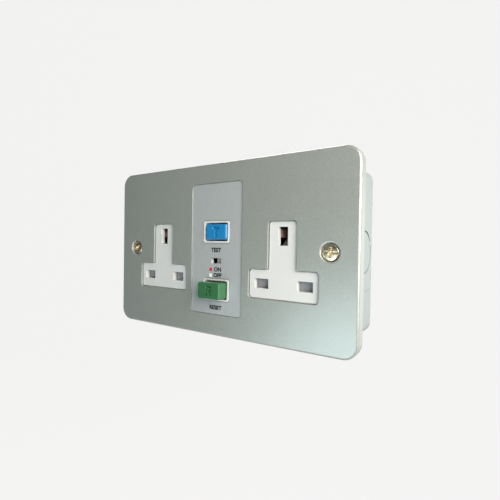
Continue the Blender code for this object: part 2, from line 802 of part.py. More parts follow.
def knockout(shape, centre, level):
    """The groove round a semi-sheared knock-out, cut into a wall's outer face by slab, web or shelf."""
    outer = circle(centre, KNOCKOUT_RADIUS + KNOCKOUT_GROOVE / 2)
    inner = circle(centre, KNOCKOUT_RADIUS - KNOCKOUT_GROOVE / 2)
    return shape([outer, inner], level)


def make_back_box():
    box = open_shell(
        "back_box",
        BOX_WIDTH,
        BOX_HEIGHT,
        (BOX_FRONT, OVERALL_DEPTH),
        BOX_CORNER,
        BOX_EDGE,
        BOX_STEEL,
        "box_paint",
        opens_back=False,
    )
    wall = BOX_WIDTH / 2 - BOX_STEEL / 2
    tip = SCREW_PLACE - LUG_REACH
    lug = (LUG_DEPTH, LUG_DEPTH + LUG_STEEL)
    half = LUG_HEIGHT / 2
    for side, sign in (("left", -1), ("right", 1)):
        ends = [(tip, -half, LUG_CORNER), (wall, -half, EMBED), (wall, half, EMBED), (tip, half, LUG_CORNER)]
        outline = filleted([(sign * x, z, radius) for x, z, radius in ends])
        add(box, f"lug_{side}", slab([outline], lug))
    notch = (-half - LUG_CLEARANCE, half + LUG_CLEARANCE)
    level = (BOX_FRONT - OVERRUN, LUG_DEPTH)
    for side, sign in (("left", -1), ("right", 1)):
        across = sorted((sign * (wall - BOX_EDGE), sign * (BOX_WIDTH / 2 + OVERRUN)))
        cut(box, f"folded_edge_{side}", brick(across, level, notch))
    hole = SCREW_RADIUS + GAP
    level = (lug[0] - OVERRUN, lug[1] + OVERRUN)
    cut(box, "lug_holes", *[rod((x, level[0], 0), (x, level[1], 0), hole) for x in SCREW_CENTRES])
    bite = KNOCKOUT_GROOVE
    side_x = BOX_WIDTH / 2
    top_z = BOX_HEIGHT / 2
    cut(
        box,
        "side_knockouts",
        knockout(web, (BOX_MIDDLE, 0), (side_x - bite, side_x + bite)),
        knockout(web, (BOX_MIDDLE, 0), (-side_x - bite, -side_x + bite)),
    )
    for x, side in ((-KNOCKOUT_SPREAD, "left"), (KNOCKOUT_SPREAD, "right")):
        cut(
            box,
            f"{side}_knockouts",
            knockout(shelf, (x, BOX_MIDDLE), (top_z - bite, top_z + bite)),
            knockout(shelf, (x, BOX_MIDDLE), (-top_z - bite, -top_z + bite)),
            knockout(slab, (x, 0), (OVERALL_DEPTH - bite, OVERALL_DEPTH + bite)),
        )
    back = (OVERALL_DEPTH - BOX_STEEL - OVERRUN, OVERALL_DEPTH + OVERRUN)
    holes = []
    for x in (-WALL_HOLE_SPREAD, WALL_HOLE_SPREAD):
        for z in (-WALL_HOLE_RISE, WALL_HOLE_RISE):
            holes.append(rod((x, back[0], z), (x, back[1], z), WALL_HOLE_RADIUS, sides=12))
    cut(box, "wall_holes", *holes)
    return box


def make_plate_screw(name, x, slot_angle):
    top = SCREW_RECESS
    under = SCREW_RECESS + SCREW_HEAD_HEIGHT
    dome = SCREW_HEAD_HEIGHT * 0.25
    profile = [
        (0.0, 0.0),
        (SCREW_HEAD_RADIUS * 0.6, dome * 0.15),
        (SCREW_HEAD_RADIUS * 0.9, dome * 0.7),
        (SCREW_HEAD_RADIUS, dome * 1.8),
        (SCREW_HEAD_RADIUS, SCREW_HEAD_HEIGHT),
        (SCREW_RADIUS, SCREW_HEAD_HEIGHT),
        (SCREW_RADIUS, SCREW_LENGTH - SCREW_RADIUS / 2),
        (SCREW_RADIUS / 2, SCREW_LENGTH),
        (0.0, SCREW_LENGTH),
    ]
    screw = piece(name, [turned(profile, (x, top, 0), (x, under, 0))], "brass", at=(x, top, 0))
    reach = SCREW_HEAD_RADIUS + OVERRUN
    wide = SCREW_SLOT_WIDTH / 2
    slot = brick((-reach, reach), (-OVERRUN, SCREW_SLOT_DEPTH), (-wide, wide))
    wide = SCREW_CROSS_WIDTH / 2
    reach = SCREW_CROSS_REACH
    cross = brick((-wide, wide), (-OVERRUN, SCREW_CROSS_DEPTH), (-reach, reach))
    for shape in (slot, cross):
        shape.transform(Matrix.Translation((0, -FACE_Y, 0)))
        shape.transform(Matrix.Rotation(slot_angle, 4, "Y"))
        shape.transform(Matrix.Translation(place(x, top, 0)))
    cut(screw, "slot", slot)
    cut(screw, "cross", cross)
    smooth(screw)
    return screw


def make_label_panel():
    front = PANEL_RECESS
    outline = rounded(PANEL_WIDTH - 2 * GAP, PANEL_HEIGHT - 2 * GAP, PANEL_CORNER, (0, PANEL_CENTRE))
    width = COLLAR_WIDTH + 2 * GAP
    height = COLLAR_HEIGHT + 2 * GAP
    centres = (TEST_CENTRE, RESET_CENTRE)
    holes = [rounded(width, height, COLLAR_CORNER + GAP, (0, centre)) for centre in centres]
    holes.append(rounded(WINDOW_WIDTH, WINDOW_HEIGHT, WINDOW_CORNER, (0, WINDOW_CENTRE), steps=2))
    return piece("label_panel", [slab([outline, *holes], (front, front + PANEL_THICKNESS))], "silver_panel")


# Mouldings


def pin_slots():
    """The six pin slots' outlines."""
    slots = []
    for x in SOCKET_CENTRES:
        for side in (-PIN_SPREAD, PIN_SPREAD):
            centre = (x + side, PIN_ROW)
            slots.append(rounded(PIN_SLOT_WIDTH, PIN_SLOT_HEIGHT, SLOT_CORNER, centre, steps=1))
        slots.append(rounded(EARTH_SLOT_WIDTH, EARTH_SLOT_HEIGHT, SLOT_CORNER, (x, EARTH_PIN), steps=1))
    return slots


def boss_spots():
    return [(x, z) for x in (-BOSS_SPREAD, BOSS_SPREAD) for z in (-BOSS_RISE, BOSS_RISE)]


def make_module_front():
    module = piece(
        "module_front", [slab([module_outline(0.0)], (FLANGE_FRONT, FLANGE_BACK))], "white_moulding"
    )
    inside = FLANGE_BACK - EMBED
    skirt = [module_outline(SKIRT_INSET), module_outline(SKIRT_INSET + SKIRT_WALL)]
    add(module, "skirt", slab(skirt, (inside, SKIRT_BACK)))
    faces = [slab([tee(x)], (TEE_RECESS, FLANGE_FRONT + EMBED)) for x in SOCKET_CENTRES]
    add(module, "tee_faces", *faces)
    panel = rounded(PANEL_WIDTH - 2 * GAP, PANEL_HEIGHT - 2 * GAP, PANEL_CORNER, (0, PANEL_CENTRE))
    add(module, "centre_platform", slab([panel], (PANEL_SEAT, FLANGE_FRONT + EMBED)))
    centres = (TEST_CENTRE, RESET_CENTRE)
    tubes = [rounded(COLLAR_WIDTH, COLLAR_HEIGHT, COLLAR_CORNER, (0, centre)) for centre in centres]
    add(module, "collars", *[slab([tube], (COLLAR_FRONT, GUIDE_DEPTH)) for tube in tubes])
    add_front_ribs(module, inside)
    level = (COLLAR_FRONT - OVERRUN, GUIDE_DEPTH + OVERRUN)
    openings = [rounded(OPENING_WIDTH, OPENING_HEIGHT, OPENING_CORNER, (0, centre)) for centre in centres]
    cut(module, "openings", *[slab([opening], level) for opening in openings])
    level = (TEE_RECESS - OVERRUN, FLANGE_BACK + OVERRUN)
    cut(module, "pin_slots", *[slab([slot], level) for slot in pin_slots()])
    window = rounded(WINDOW_WIDTH, WINDOW_HEIGHT, WINDOW_CORNER, (0, WINDOW_CENTRE), steps=2)
    cut(module, "window", slab([window], (PANEL_SEAT - OVERRUN, FLANGE_BACK + OVERRUN)))
    flag_run = (FLAG_LEFT - FLAG_TRAVEL - 2 * GAP, FLAG_RIGHT + 2 * GAP)
    flag_half = FLAG_HEIGHT / 2 + GAP
    height = (WINDOW_CENTRE - flag_half, WINDOW_CENTRE + flag_half)
    cut(module, "flag_pocket", brick(flag_run, (WINDOW_WALL, FLANGE_BACK + OVERRUN), height))
    pilot = MODULE_SCREW_RADIUS + GAP
    front = REAR_BACK - MODULE_SCREW_LENGTH
    holes = [rod((x, front, z), (x, SKIRT_BACK + OVERRUN, z), pilot, sides=12) for x, z in boss_spots()]
    cut(module, "pilot_holes", *holes)
    return module


def add_front_ribs(module, inside):
    """Bosses, dividing walls, flag rails, shutter guides and the shutter springs' seats."""
    bosses = [rod((x, inside, z), (x, SKIRT_BACK, z), BOSS_RADIUS, sides=12) for x, z in boss_spots()]
    add(module, "bosses", *bosses)
    wall_top = MODULE_HALF_HEIGHT - SKIRT_INSET - SKIRT_WALL / 2
    for side, sign in (("left", -1), ("right", 1)):
        across = (sign * DIVIDER_PLACE - DIVIDER_WALL / 2, sign * DIVIDER_PLACE + DIVIDER_WALL / 2)
        add(module, f"divider_{side}", brick(across, (inside, SKIRT_BACK), (-wall_top, wall_top)))
    rail = FLAG_HEIGHT / 2 + GAP
    rail_across = (FLAG_LEFT - FLAG_TRAVEL - RIB, FLAG_RIGHT + RIB)
    rail_depth = (inside, FLAG_BACK + RIB)
    add(
        module,
        "flag_rails",
        brick(rail_across, rail_depth, (WINDOW_CENTRE + rail, WINDOW_CENTRE + rail + RIB)),
        brick(rail_across, rail_depth, (WINDOW_CENTRE - rail - RIB, WINDOW_CENTRE - rail)),
    )
    guide = SHUTTER_REACH + GAP
    low = SHUTTER_BOTTOM - SHUTTER_TRAVEL
    guides = []
    seats = []
    for x in SOCKET_CENTRES:
        for sign in (-1, 1):
            near = sorted((x + sign * guide, x + sign * (guide + RIB)))
            guides.append(brick(near, (inside, SHUTTER_BACK), (low, SHUTTER_TOP + RIB)))
        across = (x - SEAT_HALF_WIDTH, x + SEAT_HALF_WIDTH)
        height = (SHUTTER_SEAT - LEDGE_THICKNESS, SHUTTER_SEAT)
        seats.append(brick(across, (inside, LEDGE_BACK), height))
    add(module, "shutter_guides", *guides)
    add(module, "spring_seats", *seats)


def make_module_rear():
    outer = module_outline(SKIRT_INSET)
    rear = piece("module_rear", [slab([outer], (FLOOR_DEPTH, REAR_BACK))], "rear_moulding")
    inside = FLOOR_DEPTH + EMBED
    add(rear, "wall", slab([outer, module_outline(SKIRT_INSET + SKIRT_WALL)], (REAR_FRONT, inside)))
    bosses = [rod((x, REAR_FRONT, z), (x, inside, z), BOSS_RADIUS, sides=16) for x, z in boss_spots()]
    add(rear, "bosses", *bosses)
    add_contact_towers(rear, inside)
    posts = []
    for x in (POST_SIDE_INSET - BOARD_HALF_WIDTH, BOARD_HALF_WIDTH - POST_SIDE_INSET):
        for z in (BOARD_LOW + POST_END_INSET, BOARD_HIGH - POST_END_INSET):
            posts.append(rod((x, BOARD_BACK + GAP, z), (x, inside, z), POST_RADIUS, sides=12))
    add(rear, "board_posts", *posts)
    add_bar_posts(rear, inside)
    add_terminal_walls(rear)
    cut_tang_slots(rear, inside)
    hole = MODULE_SCREW_RADIUS + GAP
    level = (REAR_FRONT - OVERRUN, REAR_BACK + OVERRUN)
    holes = [rod((x, level[0], z), (x, level[1], z), hole, sides=12) for x, z in boss_spots()]
    cut(rear, "screw_holes", *holes)
    return rear


def add_bar_posts(rear, inside):
    """Two posts that carry the live bar above the neutral bar."""
    level = (LIVE_BAR_DEPTH + BAR_STEEL + GAP, inside)
    right = SOCKET_SPREAD + PIN_SPREAD
    left = PIN_SPREAD - SOCKET_SPREAD
    add(
        rear,
        "bar_posts",
        brick((right - BAR_POST / 2, right + BAR_POST / 2), level, (STRAP_LOW + GAP, STRAP_HIGH - GAP)),
        brick((left - BAR_POST / 2, left + BAR_POST / 2), level, (STRAP_HIGH + RIB, STRAP_HIGH + BAR_POST)),
    )


def cut_tang_slots(rear, inside):
    """Slots through the floor for the tangs of the fixed contacts and the earth bar."""
    level = (inside - OVERRUN, REAR_BACK + OVERRUN)
    wide = CONTACT_WIDTH / 2 + GAP
    tall = TANG_HALF_HEIGHT + TANG_CLEARANCE
    slots = []
    for x in (-CONTACT_SPREAD, CONTACT_SPREAD):
        slots.append(brick((x - wide, x + wide), level, (RESET_CENTRE - tall, RESET_CENTRE + tall)))
    middle = (EARTH_STRAP_LOW + EARTH_STRAP_HIGH) / 2
    wide = EARTH_TANG_HALF_WIDTH + TANG_CLEARANCE
    tall = EARTH_TANG_HALF_HEIGHT + TANG_CLEARANCE
    slots.append(brick((-wide, wide), level, (middle - tall, middle + tall)))
    cut(rear, "tang_slots", *slots)


def add_contact_towers(rear, inside):
    """A square shroud round each socket contact, open at the floor for the bar's tab."""
    half = PIN_PINCH + CLIP_FLARE + LEAF_STEEL + GAP
    span = CLIP_WIDTH / 2 + TOWER_ROOM
    wall = TOWER_WALL
    corner = TOWER_CORNER / 2
    floor = FLOOR_DEPTH + EMBED / 2
    towers = []
    notches = []
    for x in SOCKET_CENTRES:
        for side in (-PIN_SPREAD, PIN_SPREAD):
            across = x + side
            hole = rounded(2 * span, 2 * half, corner, (across, PIN_ROW), steps=1)
            tower = rounded(2 * (span + wall), 2 * (half + wall), TOWER_CORNER, (across, PIN_ROW), steps=1)
            towers.append(slab([tower, hole], (TOWER_FRONT, inside)))
            level = (LIVE_BAR_DEPTH - GAP, floor)
            notches.append(brick((across - span, across + span), level, (PIN_ROW - half - 2 * wall, PIN_ROW)))
        height = EARTH_CLIP_HIGH - EARTH_CLIP_LOW + 2 * TOWER_ROOM
        middle = (EARTH_CLIP_HIGH + EARTH_CLIP_LOW) / 2
        width = 2 * (half + EARTH_TOWER_ROOM)
        hole = rounded(width, height, corner, (x, middle), steps=1)
        tower = rounded(width + 2 * wall, height + 2 * wall, TOWER_CORNER, (x, middle), steps=1)
        towers.append(slab([tower, hole], (EARTH_TOWER_DEPTH, inside)))
        notch_top = EARTH_CLIP_HIGH + TOWER_ROOM + 2 * wall
        notches.append(brick((x - half, x + half), (NEUTRAL_BAR_DEPTH - GAP, floor), (middle, notch_top)))
    add(rear, "contact_towers", *towers)
    cut(rear, "tab_notches", *notches)


def terminal_spots():
    """Name, centre across and height of the three supply terminals."""
    earth_height = (EARTH_STRAP_LOW + EARTH_STRAP_HIGH) / 2
    return (
        ("live", CONTACT_SPREAD, RESET_CENTRE),
        ("neutral", -CONTACT_SPREAD, RESET_CENTRE),
        ("earth", 0.0, earth_height),
    )


def add_terminal_walls(rear):
    """Two barrier walls beside each terminal, behind the floor."""
    gap = TERMINAL_WIDTH / 2 + GAP
    walls = []
    for _, x, z in terminal_spots():
        for sign in (-1, 1):
            near = sorted((x + sign * gap, x + sign * (gap + TERMINAL_BARRIER)))
            height = (z - TERMINAL_HEIGHT / 2 - RIB, z + TERMINAL_HEIGHT / 2 + RIB)
            walls.append(brick(near, (REAR_BACK - EMBED, TERMINAL_BACK), height))
    add(rear, "terminal_walls", *walls)


def make_module_screws():
    top = REAR_BACK + GAP
    for number, (x, z) in enumerate(boss_spots(), start=1):
        tip = top - MODULE_SCREW_LENGTH + 2 * GAP
        shank = rod((x, tip, z), (x, top + EMBED, z), MODULE_SCREW_RADIUS, sides=12)
        screw = piece(f"module_screw_{number}", [shank], "plated_steel")
        crown = top + SCREW_CROWN
        add(screw, "head", rod((x, top, z), (x, crown, z), MODULE_SCREW_HEAD, sides=16))
        level = (top + SCREW_CROWN / 2, crown + OVERRUN)
        for label, (wide, tall) in zip(("slot", "cross"), (MODULE_SCREW_SLOT, MODULE_SCREW_SLOT[::-1])):
            cut(screw, label, brick((x - wide, x + wide), level, (z - tall, z + tall)))


# Shutters


def make_shutter(side, x):
    blades = [
        (x - SHUTTER_REACH, SHUTTER_BOTTOM, SHUTTER_CORNER),
        (x + SHUTTER_REACH, SHUTTER_BOTTOM, SHUTTER_CORNER),
        (x + SHUTTER_REACH, SHUTTER_TOP, SHUTTER_CORNER),
        (x + SHUTTER_STEM, SHUTTER_TOP, SHUTTER_INNER_CORNER),
        (x + SHUTTER_STEM, STEM_TOP, SHUTTER_CORNER),
        (x - SHUTTER_STEM, STEM_TOP, SHUTTER_CORNER),
        (x - SHUTTER_STEM, SHUTTER_TOP, SHUTTER_INNER_CORNER),
        (x - SHUTTER_REACH, SHUTTER_TOP, SHUTTER_CORNER),
    ]
    front = SHUTTER_FRONT
    shutter = piece(
        f"shutter_{side}",
        [slab([filleted(blades, steps=2)], (front, SHUTTER_BACK))],
        "grey_shutter",
        at=(x, front, SHUTTER_BOTTOM),
    )
    foot = STEM_TOP - RAMP_LIP
    ramp = [
        (front, foot),
        (front, STEM_TOP + EMBED / 3),
        (front + RAMP_RISE, STEM_TOP + RAMP_RISE),
        (front + RAMP_RISE + RAMP_LIP, STEM_TOP + RAMP_RISE),
        (front + RAMP_RISE + RAMP_LIP, foot),
    ]
    add(shutter, "ramp", web([ramp], (x - RAMP_HALF_WIDTH, x + RAMP_HALF_WIDTH)))
    nose_rise = SHUTTER_TRAVEL + SHUTTER_COVER + GAP
    nose_foot = foot + RIB / 2
    nose = [
        (front + RIB, nose_foot),
        (front + RIB, STEM_TOP + RIB),
        (front + nose_rise, STEM_TOP + nose_rise),
        (front + nose_rise + RIB, STEM_TOP + nose_rise),
        (front + nose_rise + RIB, nose_foot),
    ]
    add(shutter, "ramp_nose", web([nose], (x - RAMP_NOSE_HALF_WIDTH, x + RAMP_NOSE_HALF_WIDTH)))
    across = (x - LEDGE_HALF_WIDTH, x + LEDGE_HALF_WIDTH)
    height = (SHUTTER_BOTTOM, SHUTTER_BOTTOM + LEDGE_THICKNESS)
    add(shutter, "spring_ledge", brick(across, (front + SHUTTER_THICKNESS / 2, LEDGE_BACK), height))
    top = SHUTTER_BOTTOM - GAP
    spring = coil_spring(
        f"shutter_spring_{side}",
        (x, SHUTTER_SPRING_DEPTH, top - SHUTTER_SPRING_LENGTH),
        (x, SHUTTER_SPRING_DEPTH, top),
        SHUTTER_SPRING_RADIUS - SPRING_WIRE / 2,
        6,
    )
    joint_empty(f"shutter_{side}_slide", (x, front, SHUTTER_BOTTOM), [shutter])
    return spring


# Bars and contacts


def clip_leaf(sign, front, back, waist):
    """One leaf of a socket clip, as points of depth and offset from the pin's middle."""
    near = PIN_PINCH
    flare = PIN_PINCH + CLIP_FLARE
    rest = PIN_PINCH + CLIP_FLARE / 2
    inner = [(front, flare), (waist, near), (back, rest)]
    outer = [(depth, offset + LEAF_STEEL) for depth, offset in reversed(inner)]
    return [(depth, sign * offset) for depth, offset in inner + outer]


def pin_clip(x, back):
    """Upper and lower leaves of a live or neutral contact, down to the bar's face."""
    leaves = []
    for sign in (-1, 1):
        leaf = clip_leaf(sign, CLIP_FRONT, back + BAR_STEEL / 2, CLIP_FRONT + CLIP_WAIST)
        outline = [(depth, PIN_ROW + offset) for depth, offset in leaf]
        leaves.append(web([outline], (x - CLIP_WIDTH / 2, x + CLIP_WIDTH / 2)))
    return leaves


def make_supply_bar(name, side, depth):
    """A bar along both sockets, with a tab up to each of its two clips."""
    tab = CLIP_WIDTH / 2
    clips = [x + side * PIN_SPREAD for x in SOCKET_CENTRES]
    left, right = clips
    tab_top = PIN_ROW + PIN_PINCH + CLIP_FLARE / 2 + LEAF_STEEL
    outline = [
        (left - tab, STRAP_LOW),
        (right + tab, STRAP_LOW),
        (right + tab, tab_top),
        (right - tab, tab_top),
        (right - tab, STRAP_HIGH),
        (left + tab, STRAP_HIGH),
        (left + tab, tab_top),
        (left - tab, tab_top),
    ]
    bar = piece(name, [slab([outline], (depth, depth + BAR_STEEL))], "brass")
    for number, x in enumerate(clips, start=1):
        add(bar, f"clip_{number}", *pin_clip(x, depth))
    return bar


def make_earth_bar():
    """The earth strap with a copper clip for each socket's long earth pin."""
    depth = NEUTRAL_BAR_DEPTH
    tab = PIN_PINCH + CLIP_FLARE / 2 + LEAF_STEEL
    left, right = SOCKET_CENTRES
    outline = [
        (left - tab, EARTH_CLIP_LOW),
        (left + tab, EARTH_CLIP_LOW),
        (left + tab, EARTH_STRAP_LOW),
        (right - tab, EARTH_STRAP_LOW),
        (right - tab, EARTH_CLIP_LOW),
        (right + tab, EARTH_CLIP_LOW),
        (right + tab, EARTH_STRAP_HIGH),
        (left - tab, EARTH_STRAP_HIGH),
    ]
    bar = piece("earth_bar", [slab([outline], (depth, depth + BAR_STEEL))], "copper_strip")
    for number, x in enumerate(SOCKET_CENTRES, start=1):
        leaves = []
        for sign in (-1, 1):
            waist = EARTH_CLIP_FRONT + EARTH_CLIP_WAIST
            leaf = clip_leaf(sign, EARTH_CLIP_FRONT, depth + BAR_STEEL / 2, waist)
            outline = [(x + offset, along) for along, offset in leaf]
            leaves.append(shelf([outline], (EARTH_CLIP_LOW, EARTH_CLIP_HIGH)))
        add(bar, f"clip_{number}", *leaves)
    middle = (EARTH_STRAP_LOW + EARTH_STRAP_HIGH) / 2
    wide = EARTH_TANG_HALF_WIDTH
    tall = EARTH_TANG_HALF_HEIGHT
    tang = brick((-wide, wide), (depth + BAR_STEEL / 2, REAR_BACK), (middle - tall, middle + tall))
    add(bar, "tang", tang)
    return bar


def make_terminals():
    for name, x, z in terminal_spots():
        make_terminal(name, x, z, TERMINAL_FRONT, TERMINAL_BACK)
    wall = OVERALL_DEPTH - BOX_STEEL - GAP
    make_terminal("box_earth", 0.0, BOX_EARTH_INSET - BOX_HEIGHT / 2, wall, wall - BOX_EARTH_LENGTH)


def make_terminal(name, x, z, seat, face):
    """A brass block with a wire bore up it, and a clamping screw in the face away from its seat."""
    half = TERMINAL_WIDTH / 2
    tall = TERMINAL_HEIGHT / 2
    level = sorted((seat, face))
    block = piece(f"terminal_{name}", [brick((x - half, x + half), level, (z - tall, z + tall))], "brass")
    soften(block, TERMINAL_WALL / 2, segments=1)
    sign = 1 if face > seat else -1
    bore = seat + sign * (TERMINAL_BORE + TERMINAL_WALL)
    ends = ((x, bore, z - tall - OVERRUN), (x, bore, z + tall + OVERRUN))
    cut(block, "wire_bore", rod(*ends, TERMINAL_BORE, sides=12))
    hole = TERMINAL_SCREW_RADIUS + GAP
    cut(block, "screw_hole", rod((x, bore, z), (x, face + sign * OVERRUN, z), hole, sides=12))
    head = face + sign * GAP
    tip = bore + sign * (TERMINAL_BORE - 2 * GAP)
    shank = rod((x, tip, z), (x, head + sign * EMBED, z), TERMINAL_SCREW_RADIUS, sides=12)
    screw = piece(f"terminal_screw_{name}", [shank], "plated_steel")
    crown = head + sign * SCREW_CROWN
    add(screw, "head", rod((x, head, z), (x, crown, z), TERMINAL_SCREW_HEAD, sides=16))
    slot = sorted((crown - sign * TERMINAL_SLOT, crown + sign * OVERRUN))
    reach = TERMINAL_SCREW_HEAD + OVERRUN
    wide = TERMINAL_SLOT / 2
    cut(screw, "slot", brick((x - reach, x + reach), slot, (z - wide, z + wide)))


# Test and reset buttons with the contact carriage


def button_cap(name, centre, proud, bevel, paint):
    """A hollow cap with a lip behind its guide."""
    wide = BUTTON_WIDTH / 2
    tall = BUTTON_HEIGHT / 2
    rings = []
    for step in range(BEVEL_STEPS + 1):
        angle = math.pi / 2 * step / BEVEL_STEPS
        inset = bevel * (1 - math.sin(angle))
        size = (BUTTON_WIDTH - 2 * inset, BUTTON_HEIGHT - 2 * inset)
        outline = rounded(*size, BUTTON_CORNER - inset, (0, centre))
        rings.append((bevel * (1 - math.cos(angle)) - proud, outline))
    rings.append((LIP_FRONT + EMBED, rings[-1][1]))
    cap = piece(name, [lofted(rings)], paint, at=(0.0, -proud, centre))
    lip = LIP_WIDTH / 2
    rise = tall + LIP_RISE
    add(cap, "lip", brick((-lip, lip), (LIP_FRONT, LIP_BACK), (centre - rise, centre + rise)))
    wide -= BUTTON_WALL
    tall -= BUTTON_WALL
    depth = (BUTTON_WALL - proud, LIP_BACK + OVERRUN)
    cut(cap, "hollow", brick((-wide, wide), depth, (centre - tall, centre + tall)))
    return cap


def make_test_button():
    cap = button_cap("test_button", TEST_CENTRE, TEST_PROUD, TEST_BEVEL, "blue_cap")
    roof = BUTTON_WALL - TEST_PROUD - EMBED
    x = TEST_STEM_OFFSET
    z = TEST_CENTRE
    add(cap, "stem", rod((x, roof, z), (x, TEST_STEM_TIP, z), TEST_STEM_RADIUS, sides=16))
    add(cap, "spring_hub", rod((-x, roof, z), (-x, LIP_BACK, z), CAP_STEM_RADIUS, sides=16))
    coil_spring("test_spring", (-x, LIP_BACK + GAP, z), (-x, BOARD_SEAT, z), TEST_SPRING_RADIUS, 5)
    joint_empty("test_press", (0.0, -TEST_PROUD, TEST_CENTRE), [cap])


def make_reset_button():
    cap = button_cap("reset_button", RESET_CENTRE, RESET_PROUD, RESET_BEVEL, "green_cap")
    roof = BUTTON_WALL - RESET_PROUD - EMBED
    z = RESET_CENTRE
    add(cap, "stem", rod((0, roof, z), (0, LIP_BACK, z), CAP_STEM_RADIUS, sides=16))
    carriage = make_carriage()
    contacts = [make_moving_contact("live", CONTACT_SPREAD), make_moving_contact("neutral", -CONTACT_SPREAD)]
    ends = ((0.0, CARRIAGE_BACK + GAP, z), (0.0, FLOOR_DEPTH - GAP, z))
    coil_spring("reset_spring", *ends, RESET_SPRING_RADIUS, 5)
    joint_empty("reset_press", (0.0, -RESET_PROUD, RESET_CENTRE), [cap, carriage, *contacts])


def make_carriage():
    """The moulded carriage that the reset button pushes, with the flag's cam pin on its arm."""
    wide = CARRIAGE_HALF_WIDTH
    tall = CARRIAGE_HALF_HEIGHT
    body = (RESET_CENTRE - tall, RESET_CENTRE + tall)
    block = brick((-wide, wide), (CARRIAGE_FRONT, CARRIAGE_BACK), body)
    carriage = piece("contact_carriage", [block], "coil_core")
    soften(carriage, CARRIAGE_EDGE, segments=1)
    x = CAM_PIN_PLACE
    arm = (x - CAM_ARM_HALF_WIDTH, x + CAM_ARM_HALF_WIDTH)
    arm_top = WINDOW_CENTRE - FLAG_TAIL_THICKNESS / 2 - GAP
    level = (CARRIAGE_FRONT + CARRIAGE_EDGE / 2, CARRIAGE_BACK - CARRIAGE_EDGE / 2)
    add(carriage, "arm_root", brick(arm, level, (body[1] - OVERRUN, arm_top)))
    clear = RESET_CENTRE + COLLAR_HEIGHT / 2 + CAM_ARM_CLEARANCE
    level = (CAM_PIN_DEPTH - CAM_PIN_RADIUS - CARRIAGE_EDGE, CARRIAGE_FRONT + 2 * CARRIAGE_EDGE)
    add(carriage, "arm", brick(arm, level, (clear, arm_top)))
    pin_top = WINDOW_CENTRE + FLAG_TAIL_THICKNESS / 2 + CAM_PIN_RADIUS
    ends = ((x, CAM_PIN_DEPTH, arm_top - EMBED), (x, CAM_PIN_DEPTH, pin_top))
    add(carriage, "cam_pin", rod(*ends, CAM_PIN_RADIUS, sides=12))
    return carriage


def make_moving_contact(name, x):
    half = CONTACT_WIDTH / 2
    level = (MOVING_PLATE - MOVING_STEEL, MOVING_PLATE)
    height = (RESET_CENTRE - MOVING_HALF_HEIGHT, RESET_CENTRE + MOVING_HALF_HEIGHT)
    contact = piece(f"moving_contact_{name}", [brick((x - half, x + half), level, height)], "copper_strip")
    ends = ((x, MOVING_PLATE - EMBED, RESET_CENTRE), (x, MOVING_TIP, RESET_CENTRE))
    add(contact, "rivet", rod(*ends, RIVET_RADIUS, RIVET_TIP_RADIUS, sides=16))
    return contact


def make_fixed_contact(name, x):
    """A fixed contact blade whose tang goes back through the floor to its terminal."""
    half = CONTACT_WIDTH / 2
    face = CONTACT_MEET + RIVET_HEIGHT
    back = face + FIXED_STEEL
    low = RESET_CENTRE - FIXED_HALF_HEIGHT
    high = RESET_CENTRE + FIXED_HALF_HEIGHT
    tang_low = RESET_CENTRE - TANG_HALF_HEIGHT
    tang_high = RESET_CENTRE + TANG_HALF_HEIGHT
    outline = [
        (face, low),
        (face, high),
        (back, high),
        (back, tang_high),
        (REAR_BACK, tang_high),
        (REAR_BACK, tang_low),
        (back, tang_low),
        (back, low),
    ]
    contact = piece(f"fixed_contact_{name}", [web([outline], (x - half, x + half))], "copper_strip")
    ends = ((x, CONTACT_MEET, RESET_CENTRE), (x, face + EMBED, RESET_CENTRE))
    add(contact, "rivet", rod(*ends, RIVET_TIP_RADIUS, RIVET_RADIUS, sides=16))
    return contact


def make_indicator_flag():
    """The sliding flag, whose slanted slot turns the carriage's travel into its own."""
    half = FLAG_HEIGHT / 2
    height = (WINDOW_CENTRE - half, WINDOW_CENTRE + half)
    body = brick((FLAG_LEFT, FLAG_RIGHT), (FLAG_FRONT, FLAG_BACK), height)
    flag = piece("indicator_flag", [body], "flag_white", at=(FLAG_LEFT, FLAG_FRONT, WINDOW_CENTRE))
    margin = CAM_PIN_RADIUS + FLAG_TAIL_MARGIN
    end_x = CAM_PIN_PLACE + FLAG_TRAVEL
    end_depth = CAM_PIN_DEPTH + RESET_TRAVEL
    tail = [
        (CAM_PIN_PLACE - margin, FLAG_BACK - EMBED),
        (end_x + margin, FLAG_BACK - EMBED),
        (end_x + margin, end_depth + margin),
        (end_x - margin, end_depth + margin),
        (CAM_PIN_PLACE - margin, CAM_PIN_DEPTH + margin + FLAG_TAIL_MARGIN),
    ]
    thick = FLAG_TAIL_THICKNESS / 2
    along = Vector((FLAG_TRAVEL, RESET_TRAVEL)).normalized()
    across = Vector((-along.y, along.x)) * (CAM_PIN_RADIUS + GAP)
    start = Vector((CAM_PIN_PLACE, CAM_PIN_DEPTH)) - along * (CAM_PIN_RADIUS + GAP)
    end = Vector((end_x, end_depth)) + along * (CAM_PIN_RADIUS + GAP)
    slot = [tuple(p) for p in (start - across, end - across, end + across, start + across)]
    add(flag, "tail", shelf([tail, slot], (WINDOW_CENTRE - thick, WINDOW_CENTRE + thick)))
    joint_empty("flag_slide", (FLAG_LEFT, FLAG_FRONT, WINDOW_CENTRE), [flag])


# Trip coil, plunger and latch


